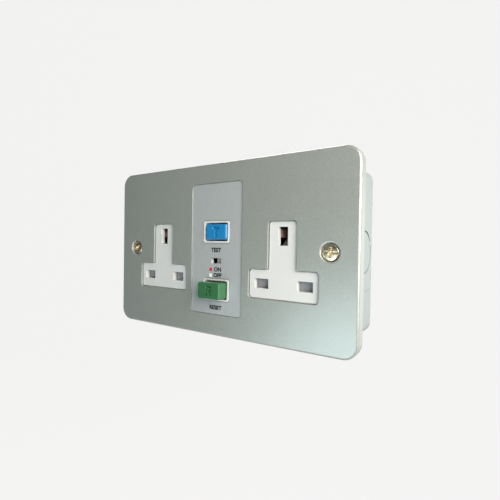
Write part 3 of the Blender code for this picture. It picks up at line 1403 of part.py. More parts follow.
def make_trip_coil():
    flange = BOBBIN_FLANGE
    length = COIL_RIGHT - COIL_LEFT
    bore = PLUNGER_RADIUS + GAP
    rim = COIL_RADIUS + FLANGE_PROUD
    spool = [
        (bore, 0.0),
        (rim, 0.0),
        (rim, flange),
        (BOBBIN_RADIUS, flange),
        (BOBBIN_RADIUS, length - flange),
        (rim, length - flange),
        (rim, length),
        (bore, length),
    ]
    ends = ((COIL_LEFT, COIL_DEPTH, COIL_CENTRE), (COIL_RIGHT, COIL_DEPTH, COIL_CENTRE))
    smooth(piece("coil_bobbin", [turned(spool, *ends, sides=20)], "rear_moulding"))
    inner = BOBBIN_RADIUS + GAP
    start = flange + GAP
    end = length - flange - GAP
    ring = [(inner, start), (COIL_RADIUS, start), (COIL_RADIUS, end), (inner, end)]
    smooth(piece("coil_winding", [turned(ring, *ends, sides=20)], "copper_wire"))
    make_coil_frame()
    make_plunger()


def make_coil_frame():
    left = COIL_LEFT - GAP - FRAME_STEEL
    right = FRAME_RIGHT
    front = COIL_DEPTH - COIL_RADIUS - FLANGE_PROUD - GAP
    back = FLOOR_DEPTH - GAP
    yoke = [
        (left, front),
        (left + FRAME_STEEL, front),
        (left + FRAME_STEEL, back - FRAME_STEEL),
        (right - FRAME_STEEL, back - FRAME_STEEL),
        (right - FRAME_STEEL, front),
        (right, front),
        (right, back),
        (left, back),
    ]
    half = COIL_RADIUS + FLANGE_PROUD
    frame = piece("coil_frame", [shelf([yoke], (COIL_CENTRE - half, COIL_CENTRE + half))], "plated_steel")
    reach = (right - FRAME_STEEL - OVERRUN, right + OVERRUN)
    ends = ((reach[0], COIL_DEPTH, COIL_CENTRE), (reach[1], COIL_DEPTH, COIL_CENTRE))
    cut(frame, "plunger_hole", rod(*ends, PLUNGER_RADIUS + GAP))


def make_plunger():
    """The plunger, with a grooved head that pulls the latch."""
    start = COIL_LEFT + PLUNGER_TRAVEL + PLUNGER_AIR_GAP
    inner = HEAD_INNER - start
    outer = HEAD_OUTER - start
    profile = [
        (0.0, 0.0),
        (PLUNGER_RADIUS, 0.0),
        (PLUNGER_RADIUS, inner - HEAD_DISC),
        (PLUNGER_HEAD, inner - HEAD_DISC),
        (PLUNGER_HEAD, inner),
        (PLUNGER_NECK, inner),
        (PLUNGER_NECK, outer),
        (PLUNGER_HEAD, outer),
        (PLUNGER_HEAD, outer + HEAD_DISC),
        (0.0, outer + HEAD_DISC),
    ]
    ends = ((start, COIL_DEPTH, COIL_CENTRE), (LATCH_PLACE, COIL_DEPTH, COIL_CENTRE))
    plunger = piece("trip_plunger", [turned(profile, *ends, sides=20)], "plated_steel", at=ends[0])
    smooth(plunger)
    coil_spring(
        "plunger_spring",
        (FRAME_RIGHT + GAP, COIL_DEPTH, COIL_CENTRE),
        (HEAD_INNER - HEAD_DISC - GAP, COIL_DEPTH, COIL_CENTRE),
        PLUNGER_RADIUS + GAP + SPRING_WIRE / 2,
        4,
    )
    joint_empty("plunger_slide", ends[0], [plunger])


def make_latch():
    """A flat lever in the plane of the plunger, pivoted on a steel pin."""
    x = LATCH_PLACE
    half = LATCH_WIDTH / 2
    pivot = LATCH_PIVOT_HEIGHT
    arm_top = COIL_CENTRE - PLUNGER_NECK - LATCH_ARM_CLEARANCE
    hook_low = RESET_CENTRE + CARRIAGE_HALF_HEIGHT + GAP
    depth = (COIL_DEPTH - LATCH_THICKNESS / 2, COIL_DEPTH + LATCH_THICKNESS / 2)
    pin_hole = LATCH_PIN_RADIUS + GAP
    hub = pin_hole + LATCH_HUB_WALL
    outline = [
        (x - half, hook_low),
        (x + LATCH_HOOK_REACH, hook_low),
        (x + LATCH_HOOK_REACH, hook_low + LATCH_HOOK_HEIGHT),
        (x + half, hook_low + 2 * LATCH_HOOK_HEIGHT),
        (x + half, arm_top),
        (x - half, arm_top),
    ]
    latch = piece("trip_latch", [slab([outline], depth)], "plated_steel", at=(x, COIL_DEPTH, pivot))
    add(latch, "hub", rod((x, depth[0], pivot), (x, depth[1], pivot), hub))
    front = depth[0] - OVERRUN
    cut(latch, "pin_hole", rod((x, front, pivot), (x, depth[1] + OVERRUN, pivot), pin_hole))
    pin = rod((x, front, pivot), (x, FLOOR_DEPTH - GAP, pivot), LATCH_PIN_RADIUS)
    piece("latch_pin", [pin], "plated_steel")
    joint_empty("latch_pivot", (x, COIL_DEPTH, pivot), [latch])


# Circuit board


def make_board():
    low, high = BOARD_LOW, BOARD_HIGH
    outline = rounded(2 * BOARD_HALF_WIDTH, high - low, BOARD_CORNER, (0, (low + high) / 2), steps=2)
    piece("circuit_board", [slab([outline], (BOARD_DEPTH, BOARD_BACK))], "board_green")
    make_toroid()
    front = TEST_BLADE_DEPTH
    foot = BOARD_SEAT
    steel = BLADE_STEEL
    blade = [
        (BLADE_LEFT, front),
        (BLADE_BEND + steel, front),
        (BLADE_BEND + steel, foot - steel),
        (BLADE_RIGHT, foot - steel),
        (BLADE_RIGHT, foot),
        (BLADE_BEND, foot),
        (BLADE_BEND, front + steel),
        (BLADE_LEFT, front + steel),
    ]
    height = (TEST_CENTRE - BLADE_HALF_HEIGHT, TEST_CENTRE + BLADE_HALF_HEIGHT)
    piece("test_contact", [shelf([blade], height)], "copper_strip")
    x = RESISTOR_INSET - BOARD_HALF_WIDTH
    depth = BOARD_SEAT - RESISTOR_RADIUS
    low = TEST_CENTRE - BLADE_HALF_HEIGHT
    body = rod((x, depth, low), (x, depth, low + RESISTOR_LENGTH), RESISTOR_RADIUS, sides=16)
    resistor = piece("test_resistor", [body], "resistor_body")
    soften(resistor, COMPONENT_EDGE)
    x = BOARD_HALF_WIDTH - CAPACITOR_INSET
    z = BOARD_LOW + CAPACITOR_RISE
    can = rod((x, BOARD_SEAT - CAPACITOR_HEIGHT, z), (x, BOARD_SEAT, z), CAPACITOR_RADIUS)
    capacitor = piece("filter_capacitor", [can], "coil_core")
    soften(capacitor, COMPONENT_EDGE)


def make_toroid():
    back = BOARD_SEAT
    front = back - TOROID_LENGTH
    ring = filleted(
        [
            (TOROID_BORE, 0.0, TOROID_ROLL),
            (TOROID_RADIUS, 0.0, TOROID_ROLL),
            (TOROID_RADIUS, TOROID_LENGTH, TOROID_ROLL),
            (TOROID_BORE, TOROID_LENGTH, TOROID_ROLL),
        ],
        steps=1,
    )
    ends = ((0.0, front, TOROID_CENTRE), (0.0, back, TOROID_CENTRE))
    smooth(piece("sensing_toroid", [turned(ring, *ends, sides=20)], "coil_core"), angle=60)
    for name, x in (("live", LEAD_SPREAD), ("neutral", -LEAD_SPREAD)):
        ends = ((x, front - LEAD_REACH, TOROID_CENTRE), (x, back, TOROID_CENTRE))
        piece(f"primary_lead_{name}", [rod(*ends, LEAD_RADIUS, sides=16)], "copper_wire")


def main():
    clear_scene()
    make_collections()
    make_back_box()
    make_front_plate()
    make_module_front()
    make_module_rear()
    make_label_panel()
    make_plate_screw("plate_screw_left", SCREW_CENTRES[0], math.radians(50))
    make_plate_screw("plate_screw_right", SCREW_CENTRES[1], 0.0)
    make_module_screws()
    for side, x in zip(("left", "right"), SOCKET_CENTRES):
        make_shutter(side, x)
    make_supply_bar("live_bar", 1, LIVE_BAR_DEPTH)
    make_supply_bar("neutral_bar", -1, NEUTRAL_BAR_DEPTH)
    make_earth_bar()
    make_fixed_contact("live", CONTACT_SPREAD)
    make_fixed_contact("neutral", -CONTACT_SPREAD)
    make_terminals()
    make_test_button()
    make_reset_button()
    make_indicator_flag()
    make_trip_coil()
    make_latch()
    make_board()


main()
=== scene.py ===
"""Finishes and close detail of a metal-clad socket outlet with a residual-current device.

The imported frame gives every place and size. Metres, +Z up, and the front faces -Y.
Depths are measured behind the front plate's face.
"""

import json
import math

import bmesh
import bpy
from mathutils import Matrix, Vector


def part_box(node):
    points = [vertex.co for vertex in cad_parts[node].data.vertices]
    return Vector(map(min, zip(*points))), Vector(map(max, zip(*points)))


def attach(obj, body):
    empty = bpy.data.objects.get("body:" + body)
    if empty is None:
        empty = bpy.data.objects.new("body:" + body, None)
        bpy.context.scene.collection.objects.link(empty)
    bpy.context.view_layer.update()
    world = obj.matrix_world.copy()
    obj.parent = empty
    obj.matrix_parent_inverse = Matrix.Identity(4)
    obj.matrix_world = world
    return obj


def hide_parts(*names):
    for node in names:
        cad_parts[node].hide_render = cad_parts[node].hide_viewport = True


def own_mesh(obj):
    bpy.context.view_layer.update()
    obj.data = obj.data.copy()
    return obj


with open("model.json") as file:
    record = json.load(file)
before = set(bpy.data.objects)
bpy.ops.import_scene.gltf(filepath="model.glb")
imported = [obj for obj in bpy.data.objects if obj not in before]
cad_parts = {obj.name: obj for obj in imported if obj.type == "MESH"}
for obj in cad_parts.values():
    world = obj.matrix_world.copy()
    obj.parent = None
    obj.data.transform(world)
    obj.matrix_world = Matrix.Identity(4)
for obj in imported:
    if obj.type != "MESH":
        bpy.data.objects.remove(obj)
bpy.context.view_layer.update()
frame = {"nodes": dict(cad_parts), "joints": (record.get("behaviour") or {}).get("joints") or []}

bl_info = {
    "name": "RCD socket outlet",
    "version": (1, 0, 0),
    "blender": (4, 5, 0),
    "location": "View3D > Sidebar > Socket",
    "description": "Builds and finishes the pieces of a metal-clad RCD socket outlet",
    "category": "Object",
}

HOUSING = "housing"
PLATE_LOW, PLATE_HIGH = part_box("front_plate")
BOX_LOW, BOX_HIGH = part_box("back_box")
PANEL_LOW, PANEL_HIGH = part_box("label_panel")
SCREW_LOW, SCREW_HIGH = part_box("plate_screw_right")
FLAG_LOW, FLAG_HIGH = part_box("indicator_flag")
FACE = PLATE_LOW.y
SCREW_PLACE = (SCREW_LOW.x + SCREW_HIGH.x) / 2
SCREW_SPOTS = ((-SCREW_PLACE, 0.0), (SCREW_PLACE, 0.0))
SCREW_TOP = SCREW_LOW.y - FACE
SCREW_HEAD = (SCREW_HIGH.x - SCREW_LOW.x) / 2

# How far a cutter reaches past what it cuts, and a union into what it joins
OVERRUN = 0.001
EMBED = 0.0003
# Points nearer to each other than this are one
WELD = 0.000002
# Depth of a dimple's floor behind the top of its screw
SEAT_DEPTH = 0.0018


# Settings that a user would change


def size(name, value, description):
    return bpy.props.FloatProperty(
        name=name, description=description, default=value, unit="LENGTH", precision=5, step=0.01
    )


def tint(name, value, description):
    return bpy.props.FloatVectorProperty(
        name=name, description=description, default=value, subtype="COLOR", size=3, min=0.0, max=1.0
    )


def power(name, value, description):
    return bpy.props.FloatProperty(name=name, description=description, default=value, unit="POWER")


class CasingSizes(bpy.types.PropertyGroup):
    """Sizes of the pressed steel front plate and back box."""

    plate_corner: size("Plate corner", 0.007, "Corner radius of the front plate")
    plate_edge: size("Plate edge", 0.0012, "Radius between the plate's face and its rim")
    plate_steel: size("Plate steel", 0.0015, "Thickness of the front plate's steel")
    rim_roll: size("Rim roll", 0.0005, "Radius of the rolled back edge of the rim")
    aperture_roll: size("Aperture roll", 0.0006, "Radius of the pressed edge round each aperture")
    box_corner: size("Box corner", 0.005, "Corner radius of the back box")
    box_edge: size("Box edge", 0.002, "Radius between the box's sides and its back")
    box_steel: size("Box steel", 0.0012, "Thickness of the back box's steel")
    knockout: size("Knock-out radius", 0.010, "Radius of the 20 mm conduit knock-outs")
    groove: size("Knock-out groove", 0.0010, "Width of the groove round a knock-out")
    bite: size("Groove depth", 0.0006, "Depth of the groove round a knock-out")
    knockout_depth: size("Knock-out depth", 0.0140, "Distance of a side knock-out's middle from the wall")
    knockout_spread: size("Knock-out spread", 0.033, "Distance of a top or back knock-out from the middle")
    seam: size("Seam width", 0.0005, "Width of the fold line on the box's sides")
    seam_height: size("Seam height", -0.0190, "Height of the fold line on the box's sides")
    wall_hole: size("Wall hole radius", 0.0024, "Radius of the holes for the wall screws")
    hole_spread: size("Wall hole spread", 0.0475, "Distance of a wall hole from the middle, across")
    hole_rise: size("Wall hole rise", 0.022, "Distance of a wall hole from the middle, in height")
    lug_reach: size("Lug reach", 0.0058, "How far a screw lug reaches past its screw's middle")
    lug_height: size("Lug height", 0.012, "Height of a screw lug")
    dimple_lip: size("Dimple lip", 0.0008, "Width of the soft lip round a plate screw")
    screw_hole: size("Screw hole radius", 0.00205, "Radius of the holes for the plate screws")


class SocketSizes(bpy.types.PropertyGroup):
    """Sizes of the T-shaped socket faces."""

    spread: size("Socket spread", 0.0379, "Distance of each socket's middle from the plate's middle")
    leg: size("Leg width", 0.0140, "Width of the T's leg, round the earth slot")
    foot: size("Foot width", 0.0350, "Width of the T's foot, round the live and neutral slots")
    top: size("Top", 0.0135, "Height of the T's top")
    shoulder: size("Shoulder", -0.0088, "Height of the T's shoulders")
    bottom: size("Bottom", -0.0222, "Height of the T's bottom")
    corner: size("Corner", 0.0016, "Radius of the T's outer corners")
    inner_corner: size("Inner corner", 0.0010, "Radius of the T's inner corners")
    gap: size("Gap", 0.0004, "Gap between the T and the plate")


class ControlSizes(bpy.types.PropertyGroup):
    """Sizes of the centre panel, its prints and the two buttons."""

    panel_corner: size("Panel corner", 0.0022, "Corner radius of the silver panel")
    collar_width: size("Collar width", 0.0170, "Width of the panel's opening round a collar")
    collar_height: size("Collar height", 0.0117, "Height of the panel's opening round a collar")
    cap_width: size("Cap width", 0.0136, "Width of a button cap")
    cap_height: size("Cap height", 0.0082, "Height of a button cap")
    cap_corner: size("Cap corner", 0.0010, "Radius of a cap's upright corners")
    panel_gap: size("Panel gap", 0.00015, "Gap between the panel and the plate")
    panel_edge: size("Panel edge", 0.0002, "Radius of the panel's edges")
    test_letter: size("Test letter", 0.0054, "Height of the letter engraved in the test cap")
    reset_letter: size("Reset letter", 0.0052, "Height of the letter engraved in the reset cap")
    test_stroke: size("Test stroke", 0.0016, "Width of the test letter's strokes")
    reset_stroke: size("Reset stroke", 0.0012, "Width of the reset letter's strokes")
    draft: size("Draft", 0.0004, "Slope of an engraved stroke's sides")
    engraving: size("Engraving", 0.0009, "Depth of the engraved letter")
    print_size: size("Print size", 0.0029, "Type size of the words printed on the panel")
    print_weight: size("Print weight", 0.00013, "Width added to each side of a printed stroke")
    window_width: size("Window width", 0.0065, "Width of the flag's window")
    window_height: size("Window height", 0.0028, "Height of the flag's window")
    window_place: size("Window place", -0.0057, "Height of the window's middle")


class FinishColours(bpy.types.PropertyGroup):
    """Colours of the paints, mouldings and metals."""

    plate: tint("Plate paint", (0.365, 0.38, 0.345), "Grey-green metallic paint of the front plate")
    box: tint("Box paint", (0.30, 0.332, 0.327), "Grey-green paint of the back box")
    moulding: tint("Moulding", (0.62, 0.61, 0.582), "White urea moulding")
    panel: tint("Panel", (0.455, 0.473, 0.463), "Silver lacquer of the centre panel")
    test_cap: tint("Test cap", (0.012, 0.19, 0.42), "Blue of the test button")
    reset_cap: tint("Reset cap", (0.030, 0.135, 0.050), "Green of the reset button")
    shutter: tint("Shutter", (0.235, 0.235, 0.245), "Grey moulding of the shutters")
    brass: tint("Brass", (0.88, 0.74, 0.53), "Polished brass")
    copper: tint("Copper alloy", (0.80, 0.52, 0.42), "Copper alloy contact strip")
    steel: tint("Steel", (0.62, 0.62, 0.60), "Zinc-plated steel")


class StudioSetup(bpy.types.PropertyGroup):
    """The camera, the backdrop's colour and the level of the lamps."""

    lens: bpy.props.FloatProperty(
        name="Lens", description="Focal length of the camera", default=25.37, unit="CAMERA"
    )
    key: power("Key lamp", 2.85, "Power of the soft lamp on the right")
    card: power("Front card", 1.7, "Power of the low soft lamp in front")
    rim: power("Rim lamp", 0.2, "Power of the soft lamp behind the rim")
    fill: power("Back fill", 4.0, "Power of the soft lamp behind and above")
    ambient: bpy.props.FloatProperty(
        name="Ambient", description="Level of the light from all round", default=0.07, min=0.0
    )
    paper: tint("Backdrop", (0.965, 0.96, 0.955), "Colour of the backdrop and floor")


# Shapes, each a mesh in the frame's coordinates


def place(across, depth, height):
    """A point at this depth behind the front plate's face."""
    return Vector((across, FACE + depth, height))


def mesh_from(bm):
    bmesh.ops.recalc_face_normals(bm, faces=bm.faces)
    mesh = bpy.data.meshes.new("shape")
    bm.to_mesh(mesh)
    bm.free()
    return mesh


def block(across, depth, height):
    """A box between three pairs of limits."""
    low = place(across[0], depth[0], height[0])
    high = place(across[1], depth[1], height[1])
    bm = bmesh.new()
    bmesh.ops.create_cube(bm, size=1.0)
    bmesh.ops.scale(bm, vec=high - low, verts=bm.verts)
    bmesh.ops.translate(bm, vec=(low + high) / 2, verts=bm.verts)
    return mesh_from(bm)


def skinned(rings):
    """A solid through rings of points, each joined to the next, closed at both ends."""
    bm = bmesh.new()
    rows = [[bm.verts.new(point) for point in points] for points in rings]
    for first, second in zip(rows, rows[1:]):
        for index, corner in enumerate(first):
            after = (index + 1) % len(first)
            bm.faces.new((corner, first[after], second[after], second[index]))
    bm.faces.new(rows[0])
    bm.faces.new(rows[-1])
    return mesh_from(bm)


def lofted(outline, profile):
    """A solid through the outlines at each (value, depth) of a profile."""
    return skinned(
        [[place(across, depth, height) for across, height in outline(value)] for value, depth in profile]
    )


def turned(centre, profile, sides=64):
    """A solid of (radius, depth) pairs turned about the line through centre along Y."""
    return lofted(lambda radius: circle(centre, radius, sides), profile)


def evaluated(obj):
    """A mesh of the object with its modifiers applied, in the frame's coordinates."""
    bpy.context.view_layer.update()
    graph = bpy.context.evaluated_depsgraph_get()
    mesh = bpy.data.meshes.new_from_object(obj.evaluated_get(graph))
    mesh.transform(obj.matrix_world)
    return mesh


def slab(outlines, depth):
    """Closed outlines of (across, height), the later ones holes in the first, through these depths."""
    curve = bpy.data.curves.new("outline", "CURVE")
    curve.dimensions = "2D"
    curve.fill_mode = "BOTH"
    for outline in outlines:
        spline = curve.splines.new("POLY")
        spline.points.add(len(outline) - 1)
        for knot, (across, height) in zip(spline.points, outline):
            knot.co = (across, height, 0.0, 1.0)
        spline.use_cyclic_u = True
    return extruded(curve, (0.0, 0.0), depth)


def word(text, type_size, weight, centre, depth):
    """Text that faces the front, its strokes widened by weight, extruded between two depths."""
    curve = bpy.data.curves.new("word", "FONT")
    curve.body = text
    curve.size = type_size
    curve.offset = weight
    curve.align_x = "CENTER"
    curve.align_y = "CENTER"
    curve.resolution_u = 4
    return extruded(curve, centre, depth)


def extruded(curve, centre, depth):
    """The mesh of a curve that faces the front, between two depths, with its loose seams closed."""
    curve.extrude = (depth[1] - depth[0]) / 2
    guide = new_object("guide", curve)
    middle = place(centre[0], (depth[0] + depth[1]) / 2, centre[1])
    guide.matrix_world = Matrix.Translation(middle) @ Matrix.Rotation(math.pi / 2, 4, "X")
    mesh = evaluated(guide)
    bpy.data.objects.remove(guide, do_unlink=True)
    bm = bmesh.new()
    bm.from_mesh(mesh)
    bmesh.ops.remove_doubles(bm, verts=bm.verts, dist=WELD)
    return mesh_from(bm)


def stroke_cutter(start, end, width, draft, depth):
    """A cutter for a straight engraved stroke, which narrows by draft on each side at its bottom."""
    run = end - start
    middle = (start + end) / 2
    turn = Matrix.Rotation(math.atan2(run.y, run.x), 2)

    def outline(inset):
        tall = width - 2 * inset
        flat = rounded(run.length + tall, tall, 0.25 * tall, steps=3)
        return [middle + turn @ Vector(point) for point in flat]

    return lofted(outline, [(0.0, depth[0]), (draft, depth[1])])


def letter_strokes(letter, height, stroke, draft, centre, depth):
    """The cutters of an engraved T or R, one for each stroke."""
    up = (height - stroke) / 2
    short = 0.98 * up
    if letter == "T":
        side = 0.43 * height - stroke / 2
        lines = [((-side, up), (side, up)), ((0.0, -up), (0.0, short - stroke / 4))]
    else:
        side = 0.36 * height - stroke / 2
        waist = up - 0.57 * height + stroke
        lines = [((-side, -up), (-side, up)), ((-side, short), (0.97 * side, short))]
        lines += [((side, 0.96 * up), (side, waist)), ((-side, waist), (0.95 * side, waist))]
        lines += [((0.0, waist), (side, -up))]
    middle = Vector(centre)
    return [stroke_cutter(middle + Vector(a), middle + Vector(b), stroke, draft, depth) for a, b in lines]


# Outlines


def circle(centre, radius, sides=64):
    angles = [2 * math.pi * step / sides for step in range(sides)]
    return [(centre[0] + radius * math.cos(a), centre[1] + radius * math.sin(a)) for a in angles]


def filleted(corners, steps=8):
    """A polygon whose corners, each (across, height, radius), are rounded by arcs."""
    outline = []
    count = len(corners)
    for index, (across, height, radius) in enumerate(corners):
        corner = Vector((across, height))
        before = (Vector(corners[index - 1][:2]) - corner).normalized()
        after = (Vector(corners[(index + 1) % count][:2]) - corner).normalized()
        half = before.angle(after) / 2
        centre = corner + (before + after).normalized() * radius / math.sin(half)
        start = corner + before * radius / math.tan(half) - centre
        end = corner + after * radius / math.tan(half) - centre
        sweep = start.angle_signed(end)
        for step in range(steps + 1):
            spoke = start.copy()
            spoke.rotate(Matrix.Rotation(-sweep * step / steps, 2))
            outline.append(tuple(centre + spoke))
    return outline


def rounded(width, height, radius, centre=(0.0, 0.0), steps=8):
    left, right = centre[0] - width / 2, centre[0] + width / 2
    low, high = centre[1] - height / 2, centre[1] + height / 2
    corners = [(left, low), (right, low), (right, high), (left, high)]
    return filleted([(across, level, radius) for across, level in corners], steps)


def tee(sizes, centre, grow=0.0):
    """The T outline of a socket face, grown all round."""
    leg = sizes.leg / 2 + grow
    foot = sizes.foot / 2 + grow
    top = sizes.top + grow
    shoulder = sizes.shoulder + grow
    bottom = sizes.bottom - grow
    outer = sizes.corner + grow
    inner = sizes.inner_corner - grow
    corners = [
        (-foot, bottom, outer),
        (foot, bottom, outer),
        (foot, shoulder, outer),
        (leg, shoulder, inner),
        (leg, top, outer),
        (-leg, top, outer),
        (-leg, shoulder, inner),
        (-foot, shoulder, outer),
    ]
    return filleted([(centre + across, height, radius) for across, height, radius in corners])


def arc(centre, radius, start, end, steps=6):
    """(value, depth) pairs along an arc between two angles in degrees."""
    points = []
    for step in range(steps + 1):
        angle = math.radians(start + (end - start) * step / steps)
        points.append((centre[0] + radius * math.cos(angle), centre[1] + radius * math.sin(angle)))
    return points


def pan_outline(width, height, corner):
    """Rounded rectangles of a pressed pan, by their inset."""
    smallest = 0.0004

    def at(inset):
        radius = max(corner - inset, smallest)
        return rounded(width - 2 * inset, height - 2 * inset, radius, steps=12)

    return at


# Objects


def new_object(name, mesh):
    obj = bpy.data.objects.new(name, mesh)
    bpy.context.scene.collection.objects.link(obj)
    return obj


def joined(meshes):
    bm = bmesh.new()
    for mesh in meshes:
        bm.from_mesh(mesh)
        bpy.data.meshes.remove(mesh)
    return mesh_from(bm)


def settle(obj):
    """Applies the object's modifiers to its mesh."""
    mesh = evaluated(obj)
    obj.modifiers.clear()
    obj.data = mesh
    obj.matrix_world = Matrix.Identity(4)


def boolean(obj, operation, meshes):
    cutter = new_object("cutter", joined(meshes))
    modifier = obj.modifiers.new(operation, "BOOLEAN")
    modifier.operation = operation
    modifier.solver = "EXACT"
    modifier.object = cutter
    settle(obj)
    bpy.data.objects.remove(cutter, do_unlink=True)


def add(obj, *meshes):
    boolean(obj, "UNION", meshes)


def cut(obj, *meshes):
    boolean(obj, "DIFFERENCE", meshes)


def bevel(obj, width, segments=2, angle=40):
    """Rounds the edges that are sharper than this angle."""
    modifier = obj.modifiers.new("rounded edges", "BEVEL")
    modifier.width = width
    modifier.segments = segments
    modifier.limit_method = "ANGLE"
    modifier.angle_limit = math.radians(angle)
    modifier.use_clamp_overlap = True


def even_shading(obj, angle=35):
    obj.data.shade_smooth()
    obj.data.set_sharp_from_angle(angle=math.radians(angle))
    normals = obj.modifiers.new("even shading", "WEIGHTED_NORMAL")
    normals.keep_sharp = True


def fit(obj, finish, body, node, slot=None):
    """Gives a finished piece its material and its body, in place of a CAD node."""
    obj.data.materials.clear()
    obj.data.materials.append(finish)
    even_shading(obj)
    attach(obj, body)
    if node:
        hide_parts(node)
    return obj


def dress(node, finish, edge=0.0, segments=2):
    """Finishes a node of the frame as it stands, with its sharp edges broken."""
    obj = frame["nodes"][node]
    weld = obj.modifiers.new("closed seams", "WELD")
    weld.merge_threshold = WELD
    if edge:
        bevel(obj, edge, segments)
    obj.data.materials.clear()
    obj.data.materials.append(finish)
    even_shading(obj)
    return obj


# Finishes


class Finish:
    """A Principled material whose nodes are laid down one layer at a time."""

    def __init__(self, name, colour, roughness, metallic=0.0):
        self.material = bpy.data.materials.new(name)
        self.material.use_nodes = True
        self.tree = self.material.node_tree
        self.shader = self.tree.nodes["Principled BSDF"]
        self.colour = tuple(colour)
        self.normal = None
        self.shader.inputs["Base Color"].default_value = (*self.colour, 1.0)
        self.shader.inputs["Roughness"].default_value = roughness
        self.shader.inputs["Metallic"].default_value = metallic
        self.place = self.tree.nodes.new("ShaderNodeTexCoord").outputs["Object"]

    def feed(self, socket, value):
        if isinstance(value, bpy.types.NodeSocket):
            self.tree.links.new(value, socket)
        else:
            socket.default_value = value

    def node(self, kind, **inputs):
        """A new shader node of this kind, with each named input linked or set."""
        node = self.tree.nodes.new(f"ShaderNode{kind}")
        for name, value in inputs.items():
            self.feed(node.inputs[name.replace("_", " ")], value)
        return node

    def noise(self, scale, detail=3.0, stretch=(1.0, 1.0, 1.0)):
        """Soft mottling, with about this many patches in a metre."""
        spot = self.node("Mapping", Vector=self.place, Scale=stretch).outputs["Vector"]
        return self.node("TexNoise", Vector=spot, Scale=scale, Detail=detail).outputs[0]

    def flecks(self, scale):
        """A level for each small cell, such as a flake of aluminium in a paint."""
        cells = self.node("TexVoronoi", Vector=self.place, Scale=scale)
        return self.node("SeparateColor", Color=cells.outputs["Color"]).outputs["Red"]

    def bands(self, scale, direction, distortion=0.0):
        """Even rings along an axis, such as the turns of a winding."""
        texture = self.node("TexWave", Vector=self.place, Scale=scale, Distortion=distortion)
        texture.bands_direction = direction
        return texture.outputs[1]

    def ranged(self, value, start, end, low=0.0, high=1.0):
        """The value's stretch from start to end, spread from low to high."""
        limits = {"From_Min": start, "From_Max": end, "To_Min": low, "To_Max": high}
        return self.node("MapRange", Value=value, **limits).outputs["Result"]

    def mixed(self, factor, first, second):
        mix = self.tree.nodes.new("ShaderNodeMix")
        mix.data_type = "RGBA"
        self.feed(mix.inputs[0], factor)
        for socket, value in ((mix.inputs[6], first), (mix.inputs[7], second)):
            self.feed(socket, value if isinstance(value, bpy.types.NodeSocket) else (*value, 1.0))
        return mix.outputs[2]

    def shade(self, amount):
        """The finish's colour made lighter or darker by this share."""
        return tuple(min(channel * (1.0 + amount), 1.0) for channel in self.colour)

    def paint(self, colour):
        self.feed(self.shader.inputs["Base Color"], colour)

    def rough(self, value):
        self.feed(self.shader.inputs["Roughness"], value)

    def bump(self, height, distance, strength=1.0):
        """Adds relief of this height, in metres, over the relief already there."""
        node = self.node("Bump", Strength=strength, Distance=distance, Height=height)
        if self.normal:
            self.feed(node.inputs["Normal"], self.normal)
        self.normal = node.outputs["Normal"]
        self.feed(self.shader.inputs["Normal"], self.normal)


def metallic_paint(name, colour, roughness, metallic):
    """Stoved paint with aluminium flakes, a fine orange peel and cloudy mottling."""
    finish = Finish(name, colour, roughness, metallic)
    flakes = finish.flecks(3100.0)
    cloud = finish.noise(160.0, 4.0)
    grain = finish.noise(1500.0, 2.0)
    tone = finish.mixed(flakes, finish.shade(-0.10), finish.shade(0.12))
    tone = finish.mixed(finish.ranged(grain, 0.35, 0.65, 0.0, 0.35), tone, finish.shade(0.10))
    finish.paint(finish.mixed(finish.ranged(cloud, 0.35, 0.70, 0.0, 0.30), tone, finish.shade(-0.06)))
    finish.rough(finish.ranged(flakes, 0.0, 1.0, roughness - 0.06, roughness + 0.06))
    finish.bump(grain, 0.00002, 0.22)
    finish.bump(finish.noise(420.0, 2.0), 0.00004, 0.16)
    return finish.material


def moulded(name, colour, roughness, texture=0.5, gloss=0.0):
    """Moulded plastic with a faint flow cloud, a fine spark-eroded texture and some gloss."""
    finish = Finish(name, colour, roughness)
    cloud = finish.noise(90.0, 3.0)
    grain = finish.noise(3200.0, 2.0)
    tone = finish.mixed(finish.ranged(cloud, 0.3, 0.7), finish.shade(-0.025), finish.shade(0.02))
    finish.paint(tone)
    finish.rough(finish.ranged(grain, 0.3, 0.7, roughness - 0.04, roughness + 0.05))
    finish.bump(grain, 0.000012, texture)
    finish.shader.inputs["Specular IOR Level"].default_value = 0.45
    finish.shader.inputs["Coat Weight"].default_value = gloss
    finish.shader.inputs["Coat Roughness"].default_value = 0.25
    return finish.material


def metal(name, colour, roughness, brushed=(1.0, 1.0, 1.0), tarnish=0.12, metallic=1.0):
    """Bare or plated metal with drawing lines and a little tarnish."""
    finish = Finish(name, colour, roughness, metallic)
    lines = finish.noise(900.0, 3.0, brushed)
    stain = finish.noise(260.0, 4.0)
    tone = finish.mixed(finish.ranged(stain, 0.42, 0.72), finish.colour, finish.shade(-tarnish))
    finish.paint(finish.mixed(finish.ranged(lines, 0.3, 0.7, 0.0, 0.5), tone, finish.shade(0.08)))
    finish.rough(finish.ranged(lines, 0.3, 0.7, roughness - 0.06, roughness + 0.10))
    finish.bump(lines, 0.000015, 0.4)
    return finish.material


def printed(name, colour):
    """Screen-printed ink with a slightly uneven film."""
    finish = Finish(name, colour, 0.45)
    film = finish.noise(2600.0, 2.0)
    finish.paint(finish.mixed(film, finish.shade(-0.10), finish.shade(0.15)))
    finish.rough(finish.ranged(film, 0.3, 0.7, 0.38, 0.55))
    finish.bump(film, 0.00001, 0.4)
    return finish.material


